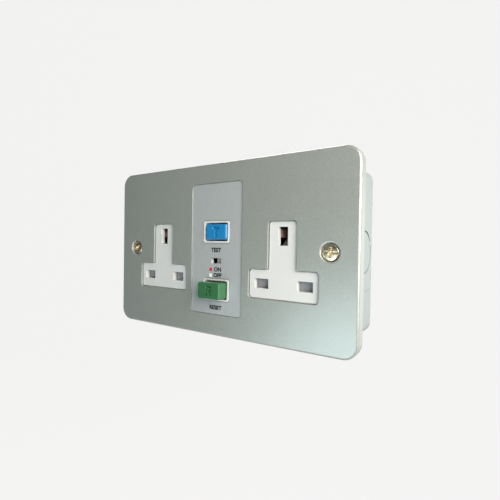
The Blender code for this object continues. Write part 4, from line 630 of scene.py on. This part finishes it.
def panel_lacquer(colour):
    """Silver lacquer over a fine vertical grain."""
    finish = Finish("panel_lacquer", colour, 0.35, 0.32)
    grain = finish.noise(1800.0, 2.0, (1.0, 1.0, 0.12))
    flakes = finish.flecks(2600.0)
    tone = finish.mixed(flakes, finish.shade(-0.05), finish.shade(0.06))
    finish.paint(finish.mixed(finish.ranged(grain, 0.35, 0.65, 0.0, 0.4), tone, finish.shade(0.07)))
    finish.rough(finish.ranged(grain, 0.3, 0.7, 0.31, 0.42))
    finish.bump(grain, 0.00001, 0.4)
    return finish.material


def enamelled_winding(colour, turns):
    """Fine enamelled wire, wound in even turns along X, with painted shade between the turns and a painted
    highlight along each.
    """
    finish = Finish("enamelled_winding", colour, 0.28, 0.9)
    wires = finish.bands(turns, "X", 0.4)
    # Each turn is painted darker at its sides and lighter on its crest: painted shade and painted
    # highlight.
    finish.paint(finish.mixed(wires, finish.shade(-0.45), finish.shade(0.15)))
    finish.bump(wires, 0.00012, 0.9)
    return finish.material


def laminate(colour):
    """Green circuit board with a woven glass texture and darker tracks."""
    finish = Finish("board_laminate", colour, 0.32)
    weave = finish.bands(420.0, "X", 1.0)
    tracks = finish.flecks(210.0)
    tone = finish.mixed(finish.ranged(tracks, 0.55, 0.60), finish.shade(0.10), finish.shade(0.55))
    finish.paint(finish.mixed(finish.ranged(weave, 0.2, 0.8, 0.0, 0.25), tone, finish.shade(-0.25)))
    finish.bump(weave, 0.00002, 0.3)
    return finish.material


# Pieces


def build_front_plate(scene):
    """The pressed plate with its rolled rim, apertures and screw dimples."""
    sizes = scene.socket_casing
    faces = scene.socket_faces
    controls = scene.socket_controls
    edge = sizes.plate_edge
    steel = sizes.plate_steel
    roll = sizes.rim_roll
    rim = PLATE_HIGH.y - PLATE_LOW.y
    profile = arc((edge, edge), edge, 270, 180, 10)
    profile += arc((roll, rim - roll), roll, 180, 90)
    profile += arc((steel - roll, rim - roll), roll, 90, 0)
    profile += arc((edge, edge), edge - steel, 180, 270)
    outline = pan_outline(PLATE_HIGH.x - PLATE_LOW.x, PLATE_HIGH.z - PLATE_LOW.z, sizes.plate_corner)
    plate = new_object("painted_front_plate", lofted(outline, profile))
    head_gap = 0.0004
    well = SCREW_HEAD + head_gap
    floor = SCREW_TOP + SEAT_DEPTH
    back = floor + steel
    bulge = well + steel
    flare = 0.0006
    add(plate, *[turned(spot, [(bulge + flare, steel / 2), (bulge, back)]) for spot in SCREW_SPOTS])
    through = (-OVERRUN, steel + OVERRUN)
    for centre in (-faces.spread, faces.spread):
        cut(plate, slab([tee(faces, centre, faces.gap)], through))
    panel = rounded(
        PANEL_HIGH.x - PANEL_LOW.x + 2 * controls.panel_gap,
        PANEL_HIGH.z - PANEL_LOW.z + 2 * controls.panel_gap,
        controls.panel_corner + controls.panel_gap,
        (0.0, (PANEL_HIGH.z + PANEL_LOW.z) / 2),
    )
    cut(plate, slab([panel], through))
    bevel(plate, sizes.aperture_roll, 3, 60)
    settle(plate)
    lip = sizes.dimple_lip
    lip_curve = ((1.0, 0.0), (0.55, 0.06), (0.2, 0.26), (0.05, 0.6), (0.0, 1.0))
    mouth = [(well + 1.05 * lip, -OVERRUN)]
    mouth += [(well + across * lip, deep * lip) for across, deep in lip_curve]
    mouth.append((well, floor))
    cut(plate, *[turned(spot, mouth) for spot in SCREW_SPOTS])
    hole = sizes.screw_hole
    cut(plate, *[turned(spot, [(hole, OVERRUN), (hole, back + OVERRUN)], 32) for spot in SCREW_SPOTS])
    paint = metallic_paint("plate_paint", scene.socket_colours.plate, 0.35, 0.42)
    return fit(plate, paint, HOUSING, "front_plate", "plate_paint")


def ring(centre, radius, groove, ties=2):
    """The outlines of a knock-out's groove, broken by ties of uncut steel."""
    half = groove / 2
    half_tie = math.radians(4)
    first_tie = math.radians(27)
    steps = 24
    outlines = []
    for tie in range(ties):
        start = first_tie + 2 * math.pi * tie / ties + half_tie
        end = first_tie + 2 * math.pi * (tie + 1) / ties - half_tie
        angles = [start + (end - start) * step / steps for step in range(steps + 1)]
        spokes = [(radius + half, angle) for angle in angles]
        spokes += [(radius - half, angle) for angle in reversed(angles)]
        outlines.append(
            [(centre[0] + reach * math.cos(a), centre[1] + reach * math.sin(a)) for reach, a in spokes]
        )
    return outlines


def turned_to(mesh, axis, level, depth):
    """Moves a slab made at the front's face onto a side or a top wall, this far from the back."""
    to_origin = Matrix.Translation((0.0, -FACE, 0.0))
    if axis == "X":
        turn = Matrix.Rotation(math.pi / 2, 4, "Z")
        spot = (level, BOX_HIGH.y - depth, 0.0)
    else:
        turn = Matrix.Rotation(-math.pi / 2, 4, "X")
        spot = (0.0, BOX_HIGH.y - depth, level)
    mesh.transform(Matrix.Translation(spot) @ turn @ to_origin)
    return mesh


def build_back_box(scene):
    """The folded steel box with its conduit knock-outs, wall holes and screw lugs."""
    sizes = scene.socket_casing
    steel = sizes.box_steel
    edge = sizes.box_edge
    front = BOX_LOW.y - FACE
    back = BOX_HIGH.y - FACE
    profile = arc((edge, back - edge), edge, 90, 180, 8)
    profile += [(0.0, front), (steel, front)]
    profile += arc((edge, back - edge), edge - steel, 180, 90, 8)
    outline = pan_outline(BOX_HIGH.x - BOX_LOW.x, BOX_HIGH.z - BOX_LOW.z, sizes.box_corner)
    box = new_object("painted_back_box", lofted(outline, profile))
    plate_gap = 0.0003
    lug_steel = 0.0016
    lug_front = SCREW_TOP + SEAT_DEPTH + sizes.plate_steel + plate_gap
    lug_back = lug_front + lug_steel
    tip = SCREW_PLACE - sizes.lug_reach
    wall = BOX_HIGH.x - steel / 2
    half = sizes.lug_height / 2
    notch = half + 0.0005
    corner = 0.002
    square = 0.0001
    lug = [(tip, -half, corner), (wall, -half, square), (wall, half, square), (tip, half, corner)]
    hole = sizes.screw_hole
    for sign, spot in zip((-1, 1), SCREW_SPOTS):
        outline = filleted([(sign * x, z, radius) for x, z, radius in lug])
        add(box, slab([outline], (lug_front, lug_back)))
        across = sorted((sign * (wall - edge), sign * (BOX_HIGH.x + OVERRUN)))
        cut(box, block(across, (front - OVERRUN, lug_front), (-notch, notch)))
        cut(box, turned(spot, [(hole, lug_front - OVERRUN), (hole, lug_back + OVERRUN)], 32))
    bite = (-sizes.bite, sizes.bite)
    depth = sizes.knockout_depth
    fold = (sizes.seam_height - sizes.seam / 2, sizes.seam_height + sizes.seam / 2)
    for level in (BOX_LOW.x, BOX_HIGH.x):
        for groove in ring((0.0, 0.0), sizes.knockout, sizes.groove):
            cut(box, turned_to(slab([groove], bite), "X", level, depth))
        across = (level - sizes.seam / 2, level + sizes.seam / 2)
        cut(box, block(across, (front - OVERRUN, back - 1.5 * edge), fold))
    for centre in (-sizes.knockout_spread, sizes.knockout_spread):
        for groove in ring((centre, 0.0), sizes.knockout, sizes.groove):
            for level in (BOX_LOW.z, BOX_HIGH.z):
                cut(box, turned_to(slab([groove], bite), "Z", level, depth))
            cut(box, slab([groove], (back - sizes.bite, back + sizes.bite)))
    drill = sizes.wall_hole
    through = [(drill, back - steel - OVERRUN), (drill, back + OVERRUN)]
    for x in (-sizes.hole_spread, sizes.hole_spread):
        cut(box, *[turned((x, z), through, 32) for z in (-sizes.hole_rise, sizes.hole_rise)])
    bevel(box, 0.00012, 1, 60)
    settle(box)
    paint = metallic_paint("box_paint", scene.socket_colours.box, 0.46, 0.10)
    return fit(box, paint, HOUSING, "back_box", "box_paint")


def build_plate_screw(name, spot, slot_angle, brass):
    """A brass screw with a domed head, a slot, a cross recess and a thread."""
    top = SCREW_TOP
    tip = SCREW_HIGH.y - FACE
    head = SCREW_HEAD
    under = top + 0.0015
    shank = 0.00175
    dome = ((0.35, 0.00003), (0.65, 0.00009), (0.85, 0.00018), (0.95, 0.00030), (1.0, 0.0005))
    profile = [(0.0002, top)]
    profile += [(share * head, top + fall) for share, fall in dome]
    profile += [(head, under), (shank, under)]
    pitch = 0.0007
    thread = 0.00035
    plain = 0.0008
    point = 0.0009
    turns = int((tip - under - 0.002) / pitch)
    for turn in range(turns):
        start = under + plain + turn * pitch
        profile += [(shank, start), (shank - thread, start + pitch / 2)]
    profile += [(shank, tip - point), (0.5 * shank, tip)]
    screw = new_object(name, turned(spot, profile, 48))
    half = 0.00045
    slot_reach, slot_depth = 1.2 * head, 0.0008
    cross_reach, cross_depth = 0.0021, 0.0011
    mouth, root, cup_depth = 0.0019, 0.0006, 0.0012
    slot = block((-slot_reach, slot_reach), (top - OVERRUN, top + slot_depth), (-half, half))
    cross = block((-half, half), (top - OVERRUN, top + cross_depth), (-cross_reach, cross_reach))
    cup = turned((0.0, 0.0), [(mouth, top - 0.0001), (root, top + cup_depth)], 4)
    for tool in (slot, cross, cup):
        tool.transform(Matrix.Rotation(slot_angle, 4, "Y"))
        tool.transform(Matrix.Translation((spot[0], 0.0, 0.0)))
        cut(screw, tool)
    bevel(screw, 0.00008, 2, 50)
    settle(screw)
    return fit(screw, brass, HOUSING, name.replace("brass", "plate"), "brass")


def build_panel(scene):
    """The silver panel with openings for the collars and the flag's window."""
    sizes = scene.socket_controls
    front = PANEL_LOW.y - FACE
    back = PANEL_HIGH.y - FACE
    width = PANEL_HIGH.x - PANEL_LOW.x
    height = PANEL_HIGH.z - PANEL_LOW.z
    middle = (0.0, (PANEL_HIGH.z + PANEL_LOW.z) / 2)
    outer = rounded(width, height, sizes.panel_corner, middle)
    collar_corner = 0.0013
    window_corner = 0.0003
    holes = [
        rounded(sizes.collar_width, sizes.collar_height, collar_corner, (0.0, height_of(node)))
        for node in ("test_button", "reset_button")
    ]
    window = (0.0, sizes.window_place)
    holes.append(rounded(sizes.window_width, sizes.window_height, window_corner, window, 3))
    panel = new_object("silver_panel", slab([outer, *holes], (front, back)))
    bevel(panel, sizes.panel_edge, 2, 60)
    settle(panel)
    return fit(panel, panel_lacquer(scene.socket_colours.panel), HOUSING, "label_panel", "silver_panel")


def height_of(node):
    """The height of the middle of a node."""
    low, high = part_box(node)
    return (low.z + high.z) / 2


def build_prints(scene):
    """The black words and the red and white key squares on the panel."""
    sizes = scene.socket_controls
    face = PANEL_LOW.y - FACE
    ink_film = 0.00003
    film = (face - ink_film, face + ink_film)
    ink = printed("black_ink", (0.006, 0.006, 0.007))
    on_level, off_level = -0.0102, -0.0132
    words = {
        "print_test": ("TEST", (0.0, -0.0003)),
        "print_on": ("ON", (0.0011, on_level)),
        "print_off": ("OFF", (0.0011, off_level)),
        "print_reset": ("RESET", (0.0, -0.0297)),
    }
    for name, (text, centre) in words.items():
        obj = new_object(name, word(text, sizes.print_size, sizes.print_weight, centre, film))
        fit(obj, ink, HOUSING, None)
    squares = {
        "print_key_red": ((0.55, 0.02, 0.02), on_level),
        "print_key_white": ((0.85, 0.85, 0.83), off_level),
    }
    side, left = 0.0017, -0.0034
    for name, (colour, level) in squares.items():
        obj = new_object(name, slab([rounded(side, side, 0.0002, (left, level), 3)], film))
        fit(obj, printed(name.replace("print", "ink"), colour), HOUSING, None)


def build_cap(scene, name, node, letter, letter_height, stroke, roll, finish, body, slot):
    """A hollow button cap with an engraved letter, a lip and its stem."""
    sizes = scene.socket_controls
    low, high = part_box(node)
    front = low.y - FACE
    back = high.y - FACE
    centre = (0.0, (low.z + high.z) / 2)
    wide, tall = sizes.cap_width, sizes.cap_height
    lip_front = 0.0103
    lip_back = 0.0113
    wall = 0.0012
    smallest = 0.00015

    def outline(inset):
        radius = max(sizes.cap_corner - inset, smallest)
        return rounded(wide - 2 * inset, tall - 2 * inset, radius, centre, 6)

    profile = arc((roll, front + roll), roll, 270, 180, 6) + [(0.0, lip_front + EMBED)]
    cap = new_object(name, lofted(outline, profile))
    lip = (high.x - low.x) / 2
    half = tall / 2
    rise = 0.0001
    levels = (centre[1] - half - rise, centre[1] + half + rise)
    add(cap, block((-lip, lip), (lip_front, lip_back), levels))
    inner = (centre[1] - half + wall, centre[1] + half - wall)
    cut(cap, block((wall - wide / 2, wide / 2 - wall), (front + wall, lip_back + OVERRUN), inner))
    root = front + wall - EMBED
    push_rod, boss = 0.0014, 0.0022
    if back > lip_back + OVERRUN:
        aside = 0.0036
        add(cap, turned((aside, centre[1]), [(push_rod, root), (push_rod, back)], 32))
        add(cap, turned((-aside, centre[1]), [(boss, root), (boss, lip_back)], 32))
    else:
        add(cap, turned(centre, [(boss, root), (boss, lip_back)], 32))
    bevel(cap, 0.00015, 2, 60)
    settle(cap)
    depth = (front - 0.0001, front + sizes.engraving)
    for line in letter_strokes(letter, letter_height, stroke, sizes.draft, centre, depth):
        cut(cap, line)
    return fit(cap, finish, body, node, slot)


def build_spring(name, node, axis, radius, wire, turns, joint, travel, finish):
    """A compression spring wound along one axis of its node's box. Its dead turns lie closed at each end.
    """
    low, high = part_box(node)
    middle = (low + high) / 2
    start, end = low[axis] + wire / 2, high[axis] - wire / 2
    steps = 20
    sides = 8
    dead = 0.8
    rise = 0.55 * wire
    count = turns * steps
    others = [index for index in range(3) if index != axis]
    rings = []
    for index in range(count + 1):
        turned_by = index / steps
        angle = 2 * math.pi * turned_by
        share = min(max((turned_by - dead) / (turns - 2 * dead), 0.0), 1.0)
        closed = rise * (min(turned_by, dead) + max(turned_by - turns + dead, 0.0)) / dead
        along = start + closed + (end - start - 2 * rise) * share
        points = []
        for side in range(sides):
            lean = 2 * math.pi * side / sides
            reach = radius + wire / 2 * math.cos(lean)
            point = middle.copy()
            point[others[0]] += reach * math.cos(angle)
            point[others[1]] += reach * math.sin(angle)
            point[axis] = along + wire / 2 * math.sin(lean)
            points.append(point)
        rings.append(points)
    spring = new_object(name, skinned(rings))
    spring.data.materials.append(finish)
    spring.data.shade_smooth()
    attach(spring, HOUSING)
    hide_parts(node)
    anchor = middle.copy()
    moves_down = axis == 2 or node == "plunger_spring"
    anchor[axis] = low[axis] if moves_down else high[axis]
    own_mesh(spring)
    return spring


# Operators, one for each piece or group of like pieces


class SOCKET_OT_front_plate(bpy.types.Operator):
    """Press and paint the front plate"""

    bl_idname = "socket.front_plate"
    bl_label = "Front plate"

    def execute(self, context):
        build_front_plate(context.scene)
        return {"FINISHED"}


class SOCKET_OT_back_box(bpy.types.Operator):
    """Fold and paint the back box"""

    bl_idname = "socket.back_box"
    bl_label = "Back box"

    def execute(self, context):
        build_back_box(context.scene)
        return {"FINISHED"}


class SOCKET_OT_plate_screws(bpy.types.Operator):
    """Turn the two brass plate screws"""

    bl_idname = "socket.plate_screws"
    bl_label = "Plate screws"

    def execute(self, context):
        brass = metal("screw_brass", context.scene.socket_colours.brass, 0.30, tarnish=0.22)
        build_plate_screw("brass_screw_left", SCREW_SPOTS[0], math.radians(52), brass)
        build_plate_screw("brass_screw_right", SCREW_SPOTS[1], math.radians(3), brass)
        return {"FINISHED"}


class SOCKET_OT_mouldings(bpy.types.Operator):
    """Finish the front and rear mouldings, the shutters and the screws between them"""

    bl_idname = "socket.mouldings"
    bl_label = "Mouldings and shutters"

    def execute(self, context):
        colours = context.scene.socket_colours
        dress("module_front", moulded("white_moulding", colours.moulding, 0.34), 0.00022, 3)
        dress("module_rear", moulded("rear_moulding", (0.70, 0.70, 0.66), 0.50), 0.00015)
        shutter = moulded("grey_shutter", colours.shutter, 0.45)
        for side in ("left", "right"):
            dress(f"shutter_{side}", shutter, 0.00012)
        steel = metal("module_screw_steel", colours.steel, 0.32)
        for number in range(1, 5):
            dress(f"module_screw_{number}", steel, 0.0001)
        return {"FINISHED"}


class SOCKET_OT_panel(bpy.types.Operator):
    """Cut the silver panel and print its words"""

    bl_idname = "socket.panel"
    bl_label = "Centre panel"

    def execute(self, context):
        build_panel(context.scene)
        build_prints(context.scene)
        return {"FINISHED"}


class SOCKET_OT_buttons(bpy.types.Operator):
    """Mould the test and reset caps with their engraved letters"""

    bl_idname = "socket.buttons"
    bl_label = "Test and reset buttons"

    def execute(self, context):
        scene = context.scene
        blue = moulded("blue_cap", scene.socket_colours.test_cap, 0.30, 0.3, 0.35)
        green = moulded("green_cap", scene.socket_colours.reset_cap, 0.32, 0.3, 0.6)
        sizes = scene.socket_controls
        test = ("T", sizes.test_letter, sizes.test_stroke, 0.0012)
        build_cap(scene, "blue_test_cap", "test_button", *test, blue, "test", "blue_cap")
        reset = ("R", sizes.reset_letter, sizes.reset_stroke, 0.0006)
        build_cap(scene, "green_reset_cap", "reset_button", *reset, green, "reset", "green_cap")
        return {"FINISHED"}


class SOCKET_OT_flag(bpy.types.Operator):
    """Finish the red and white flag behind the window"""

    bl_idname = "socket.flag"
    bl_label = "Indicator flag"

    def execute(self, context):
        # The off-white field is coloured grey: painted shade of its recess behind the window. The red
        # field is print.
        finish = Finish("flag_print", (0.45, 0.43, 0.41), 0.42)
        across = finish.node("SeparateXYZ", Vector=finish.place).outputs["X"]
        split = (FLAG_LOW.x + FLAG_HIGH.x) / 2 - 0.0002
        blur = 0.00005
        side = finish.ranged(across, split - blur, split + blur)
        film = finish.noise(1800.0)
        # The white field's grey tone is painted shade.
        white = finish.mixed(film, finish.shade(-0.05), finish.shade(0.05))
        red = finish.mixed(film, (0.48, 0.015, 0.015), (0.58, 0.03, 0.03))
        finish.paint(finish.mixed(side, white, red))
        finish.bump(film, 0.00001, 0.4)
        dress("indicator_flag", finish.material, 0.0001)
        return {"FINISHED"}


class SOCKET_OT_springs(bpy.types.Operator):
    """Wind the springs of the buttons, the shutters and the plunger"""

    bl_idname = "socket.springs"
    bl_label = "Springs"

    def execute(self, context):
        wire = metal("spring_wire", context.scene.socket_colours.steel, 0.26)
        travel = {joint["name"]: joint["range_m"][1] for joint in frame["joints"] if "range_m" in joint}
        springs = (
            ("test", "test_spring", 1, 0.0017, 6, "test_press"),
            ("reset", "reset_spring", 1, 0.0023, 6, "reset_press"),
            ("left_shutter", "shutter_spring_left", 2, 0.00145, 8, "left_shutter_drop"),
            ("right_shutter", "shutter_spring_right", 2, 0.00145, 8, "right_shutter_drop"),
            ("plunger", "plunger_spring", 0, 0.0022, 4, "plunger_pull"),
        )
        for label, node, axis, radius, turns, joint in springs:
            build_spring(f"{label}_coil", node, axis, radius, 0.0005, turns, joint, travel[joint], wire)
        return {"FINISHED"}


class SOCKET_OT_contacts(bpy.types.Operator):
    """Finish the bars, contacts, terminals and their screws"""

    bl_idname = "socket.contacts"
    bl_label = "Bars, contacts and terminals"

    def execute(self, context):
        colours = context.scene.socket_colours
        brass = metal("pressed_brass", colours.brass, 0.30, (1.0, 1.0, 0.15))
        copper = metal("copper_strip", colours.copper, 0.34, (0.15, 1.0, 1.0), metallic=0.55)
        steel = metal("terminal_screw_steel", colours.steel, 0.34)
        for node in ("live_bar", "neutral_bar"):
            dress(node, brass, 0.00008)
        for node in ("terminal_live", "terminal_neutral", "terminal_earth", "terminal_box_earth"):
            dress(node, brass, 0.00025)
        strips = [f"{kind}_contact_{pole}" for kind in ("fixed", "moving") for pole in ("live", "neutral")]
        for node in ("earth_bar", "test_contact", *strips):
            dress(node, copper, 0.00008)
        for label in ("live", "neutral", "earth", "box_earth"):
            dress(f"terminal_screw_{label}", steel, 0.0001)
        return {"FINISHED"}


class SOCKET_OT_trip_gear(bpy.types.Operator):
    """Finish the coil, plunger, latch, carriage and circuit board"""

    bl_idname = "socket.trip_gear"
    bl_label = "Trip gear and circuit board"

    def execute(self, context):
        colours = context.scene.socket_colours
        steel = metal("gear_steel", colours.steel, 0.30, (0.2, 1.0, 1.0))
        for node in ("coil_frame", "trip_plunger", "trip_latch", "latch_pin"):
            dress(node, steel, 0.00012)
        dress("coil_bobbin", moulded("bobbin_nylon", (0.66, 0.65, 0.60), 0.48), 0.0001)
        dress("coil_winding", enamelled_winding((0.60, 0.20, 0.07), 700.0), 0.0001)
        lead = metal("lead_copper", (0.62, 0.24, 0.09), 0.30)
        for label in ("live", "neutral"):
            dress(f"primary_lead_{label}", lead)
        black = moulded("black_moulding", (0.045, 0.045, 0.050), 0.42)
        for node in ("contact_carriage", "sensing_toroid", "filter_capacitor"):
            dress(node, black, 0.00015)
        dress("circuit_board", laminate((0.03, 0.16, 0.07)), 0.0001)
        dress("test_resistor", moulded("resistor_lacquer", (0.55, 0.42, 0.25), 0.36), 0.0001)
        return {"FINISHED"}


class SOCKET_OT_studio(bpy.types.Operator):
    """Set up the backdrop, the lamps and the camera"""

    bl_idname = "socket.studio"
    bl_label = "Studio"

    def execute(self, context):
        build_backdrop(context.scene)
        build_lamps(context.scene)
        build_camera(context.scene)
        context.scene.view_settings.view_transform = "Standard"
        return {"FINISHED"}


def build_backdrop(scene):
    """A pale floor that sweeps up into a backdrop well behind the object."""
    floor, back, radius, half, front = -0.60, 1.10, 0.50, 5.0, -0.5
    path = [(front, floor)] + [
        (back - radius + radius * math.sin(a), floor + radius - radius * math.cos(a))
        for a in [math.pi / 2 * step / 16 for step in range(17)]
    ]
    path.append((back, 2.6))
    bm = bmesh.new()
    rows = [[bm.verts.new((x, y, z)) for x in (-half, half)] for y, z in path]
    for first, second in zip(rows, rows[1:]):
        bm.faces.new((first[0], first[1], second[1], second[0]))
    sweep = new_object("backdrop", mesh_from(bm))
    sweep.data.shade_smooth()
    paper = scene.socket_studio.paper
    material = bpy.data.materials.new("backdrop_paper")
    material.use_nodes = True
    tree = material.node_tree
    shader = tree.nodes["Principled BSDF"]
    shader.inputs["Base Color"].default_value = (0.8, 0.8, 0.8, 1.0)
    shader.inputs["Roughness"].default_value = 0.9
    glow = tree.nodes.new("ShaderNodeEmission")
    glow.inputs["Color"].default_value = (*paper, 1.0)
    mix_shaders(tree, seen_rays(tree, 0.92), shader, glow, "Material Output")
    sweep.data.materials.append(material)


def mix_shaders(tree, share, first, second, output):
    """Feeds the output with the first shader, and with the second one for this share."""
    mix = tree.nodes.new("ShaderNodeMixShader")
    tree.links.new(share, mix.inputs["Fac"])
    tree.links.new(first.outputs[0], mix.inputs[1])
    tree.links.new(second.outputs[0], mix.inputs[2])
    tree.links.new(mix.outputs[0], tree.nodes[output].inputs["Surface"])


def seen_rays(tree, share):
    """This share for the rays that show the backdrop, straight or in gloss, and 0 for the rest."""
    path = tree.nodes.new("ShaderNodeLightPath")
    total = path.outputs["Is Camera Ray"]
    for name in ("Is Glossy Ray", "Is Transmission Ray"):
        either = tree.nodes.new("ShaderNodeMath")
        either.operation = "MAXIMUM"
        tree.links.new(total, either.inputs[0])
        tree.links.new(path.outputs[name], either.inputs[1])
        total = either.outputs[0]
    scaled = tree.nodes.new("ShaderNodeMath")
    scaled.operation = "MULTIPLY"
    scaled.inputs[1].default_value = share
    tree.links.new(total, scaled.inputs[0])
    return scaled.outputs[0]


def build_lamps(scene):
    """Four soft lamps, and a world that is dim as light and pale where the camera sees it."""
    studio = scene.socket_studio
    aim = Vector((0.0, FACE, 0.0))
    lamps = {
        "key": ((0.31, -0.195, 0.10), 0.34, studio.key, (0.985, 0.98, 0.95)),
        "front_card": ((-0.08, -0.60, -0.28), 0.38, studio.card, (0.74, 0.91, 1.0)),
        "rim_lamp": ((0.26, 0.40, -0.02), 0.30, studio.rim, (0.94, 1.0, 1.0)),
        "back_fill": ((-0.30, 0.50, 0.45), 0.40, studio.fill, (1.0, 0.99, 0.97)),
    }
    for name, (spot, width, watts, colour) in lamps.items():
        lamp = bpy.data.lights.new(name, "AREA")
        lamp.shape = "DISK"
        lamp.size = width
        lamp.energy = watts
        lamp.color = colour
        obj = new_object(name, lamp)
        obj.location = spot
        obj.rotation_euler = (aim - Vector(spot)).to_track_quat("-Z", "Y").to_euler()
    world = bpy.data.worlds.new("studio")
    scene.world = world
    world.use_nodes = True
    tree = world.node_tree
    sky = tree.nodes["Background"]
    sky.inputs["Color"].default_value = (1.0, 0.94, 0.82, 1.0)
    sky.inputs["Strength"].default_value = studio.ambient
    seen = tree.nodes.new("ShaderNodeBackground")
    seen.inputs["Color"].default_value = (*studio.paper, 1.0)
    seen.inputs["Strength"].default_value = 0.9
    path = tree.nodes.new("ShaderNodeLightPath")
    mix_shaders(tree, path.outputs["Is Camera Ray"], sky, seen, "World Output")


def build_camera(scene):
    """The camera at the photograph's viewing angle."""
    yaw, pitch, roll = math.radians(32.963), math.radians(-0.827), math.radians(0.920)
    forward = Vector((-math.sin(yaw) * math.cos(pitch), math.cos(yaw) * math.cos(pitch), math.sin(pitch)))
    level = Vector((math.cos(yaw), math.sin(yaw), 0.0))
    upright = level.cross(forward)
    right = math.cos(roll) * level + math.sin(roll) * upright
    up = -math.sin(roll) * level + math.cos(roll) * upright
    lens = bpy.data.cameras.new("camera")
    lens.lens = scene.socket_studio.lens
    lens.sensor_width = 36.0
    lens.clip_start = 0.005
    lens.clip_end = 20.0
    camera = new_object("camera", lens)
    eye = (0.11216, FACE - 0.14077, 0.00267)
    turn = Matrix((right, up, -forward)).transposed().to_4x4()
    camera.matrix_world = Matrix.Translation(eye) @ turn
    scene.camera = camera


class SOCKET_PT_outlet(bpy.types.Panel):
    """Lists the pieces of the outlet in the order in which they are made"""

    bl_idname = "SOCKET_PT_outlet"
    bl_label = "RCD socket outlet"
    bl_space_type = "VIEW_3D"
    bl_region_type = "UI"
    bl_category = "Socket"

    def draw(self, context):
        for operator in OPERATORS:
            self.layout.operator(operator.bl_idname)
        for group in GROUPS:
            column = self.layout.column(align=True)
            settings = getattr(context.scene, group)
            for name in settings.bl_rna.properties.keys():
                if name not in ("rna_type", "name"):
                    column.prop(settings, name)


GROUPS = {
    "socket_casing": CasingSizes,
    "socket_faces": SocketSizes,
    "socket_controls": ControlSizes,
    "socket_colours": FinishColours,
    "socket_studio": StudioSetup,
}
OPERATORS = (
    SOCKET_OT_studio,
    SOCKET_OT_front_plate,
    SOCKET_OT_back_box,
    SOCKET_OT_plate_screws,
    SOCKET_OT_mouldings,
    SOCKET_OT_panel,
    SOCKET_OT_buttons,
    SOCKET_OT_flag,
    SOCKET_OT_springs,
    SOCKET_OT_contacts,
    SOCKET_OT_trip_gear,
)


def register():
    for cls in (*GROUPS.values(), *OPERATORS, SOCKET_PT_outlet):
        bpy.utils.register_class(cls)
    for name, group in GROUPS.items():
        setattr(bpy.types.Scene, name, bpy.props.PointerProperty(type=group))


def unregister():
    for name in GROUPS:
        delattr(bpy.types.Scene, name)
    for cls in (SOCKET_PT_outlet, *reversed(OPERATORS), *reversed(tuple(GROUPS.values()))):
        bpy.utils.unregister_class(cls)


def main():
    register()
    bpy.ops.socket.studio()
    bpy.ops.socket.front_plate()
    bpy.ops.socket.back_box()
    bpy.ops.socket.plate_screws()
    bpy.ops.socket.mouldings()
    bpy.ops.socket.panel()
    bpy.ops.socket.buttons()
    bpy.ops.socket.flag()
    bpy.ops.socket.springs()
    bpy.ops.socket.contacts()
    bpy.ops.socket.trip_gear()


if __name__ == "__main__":
    main()
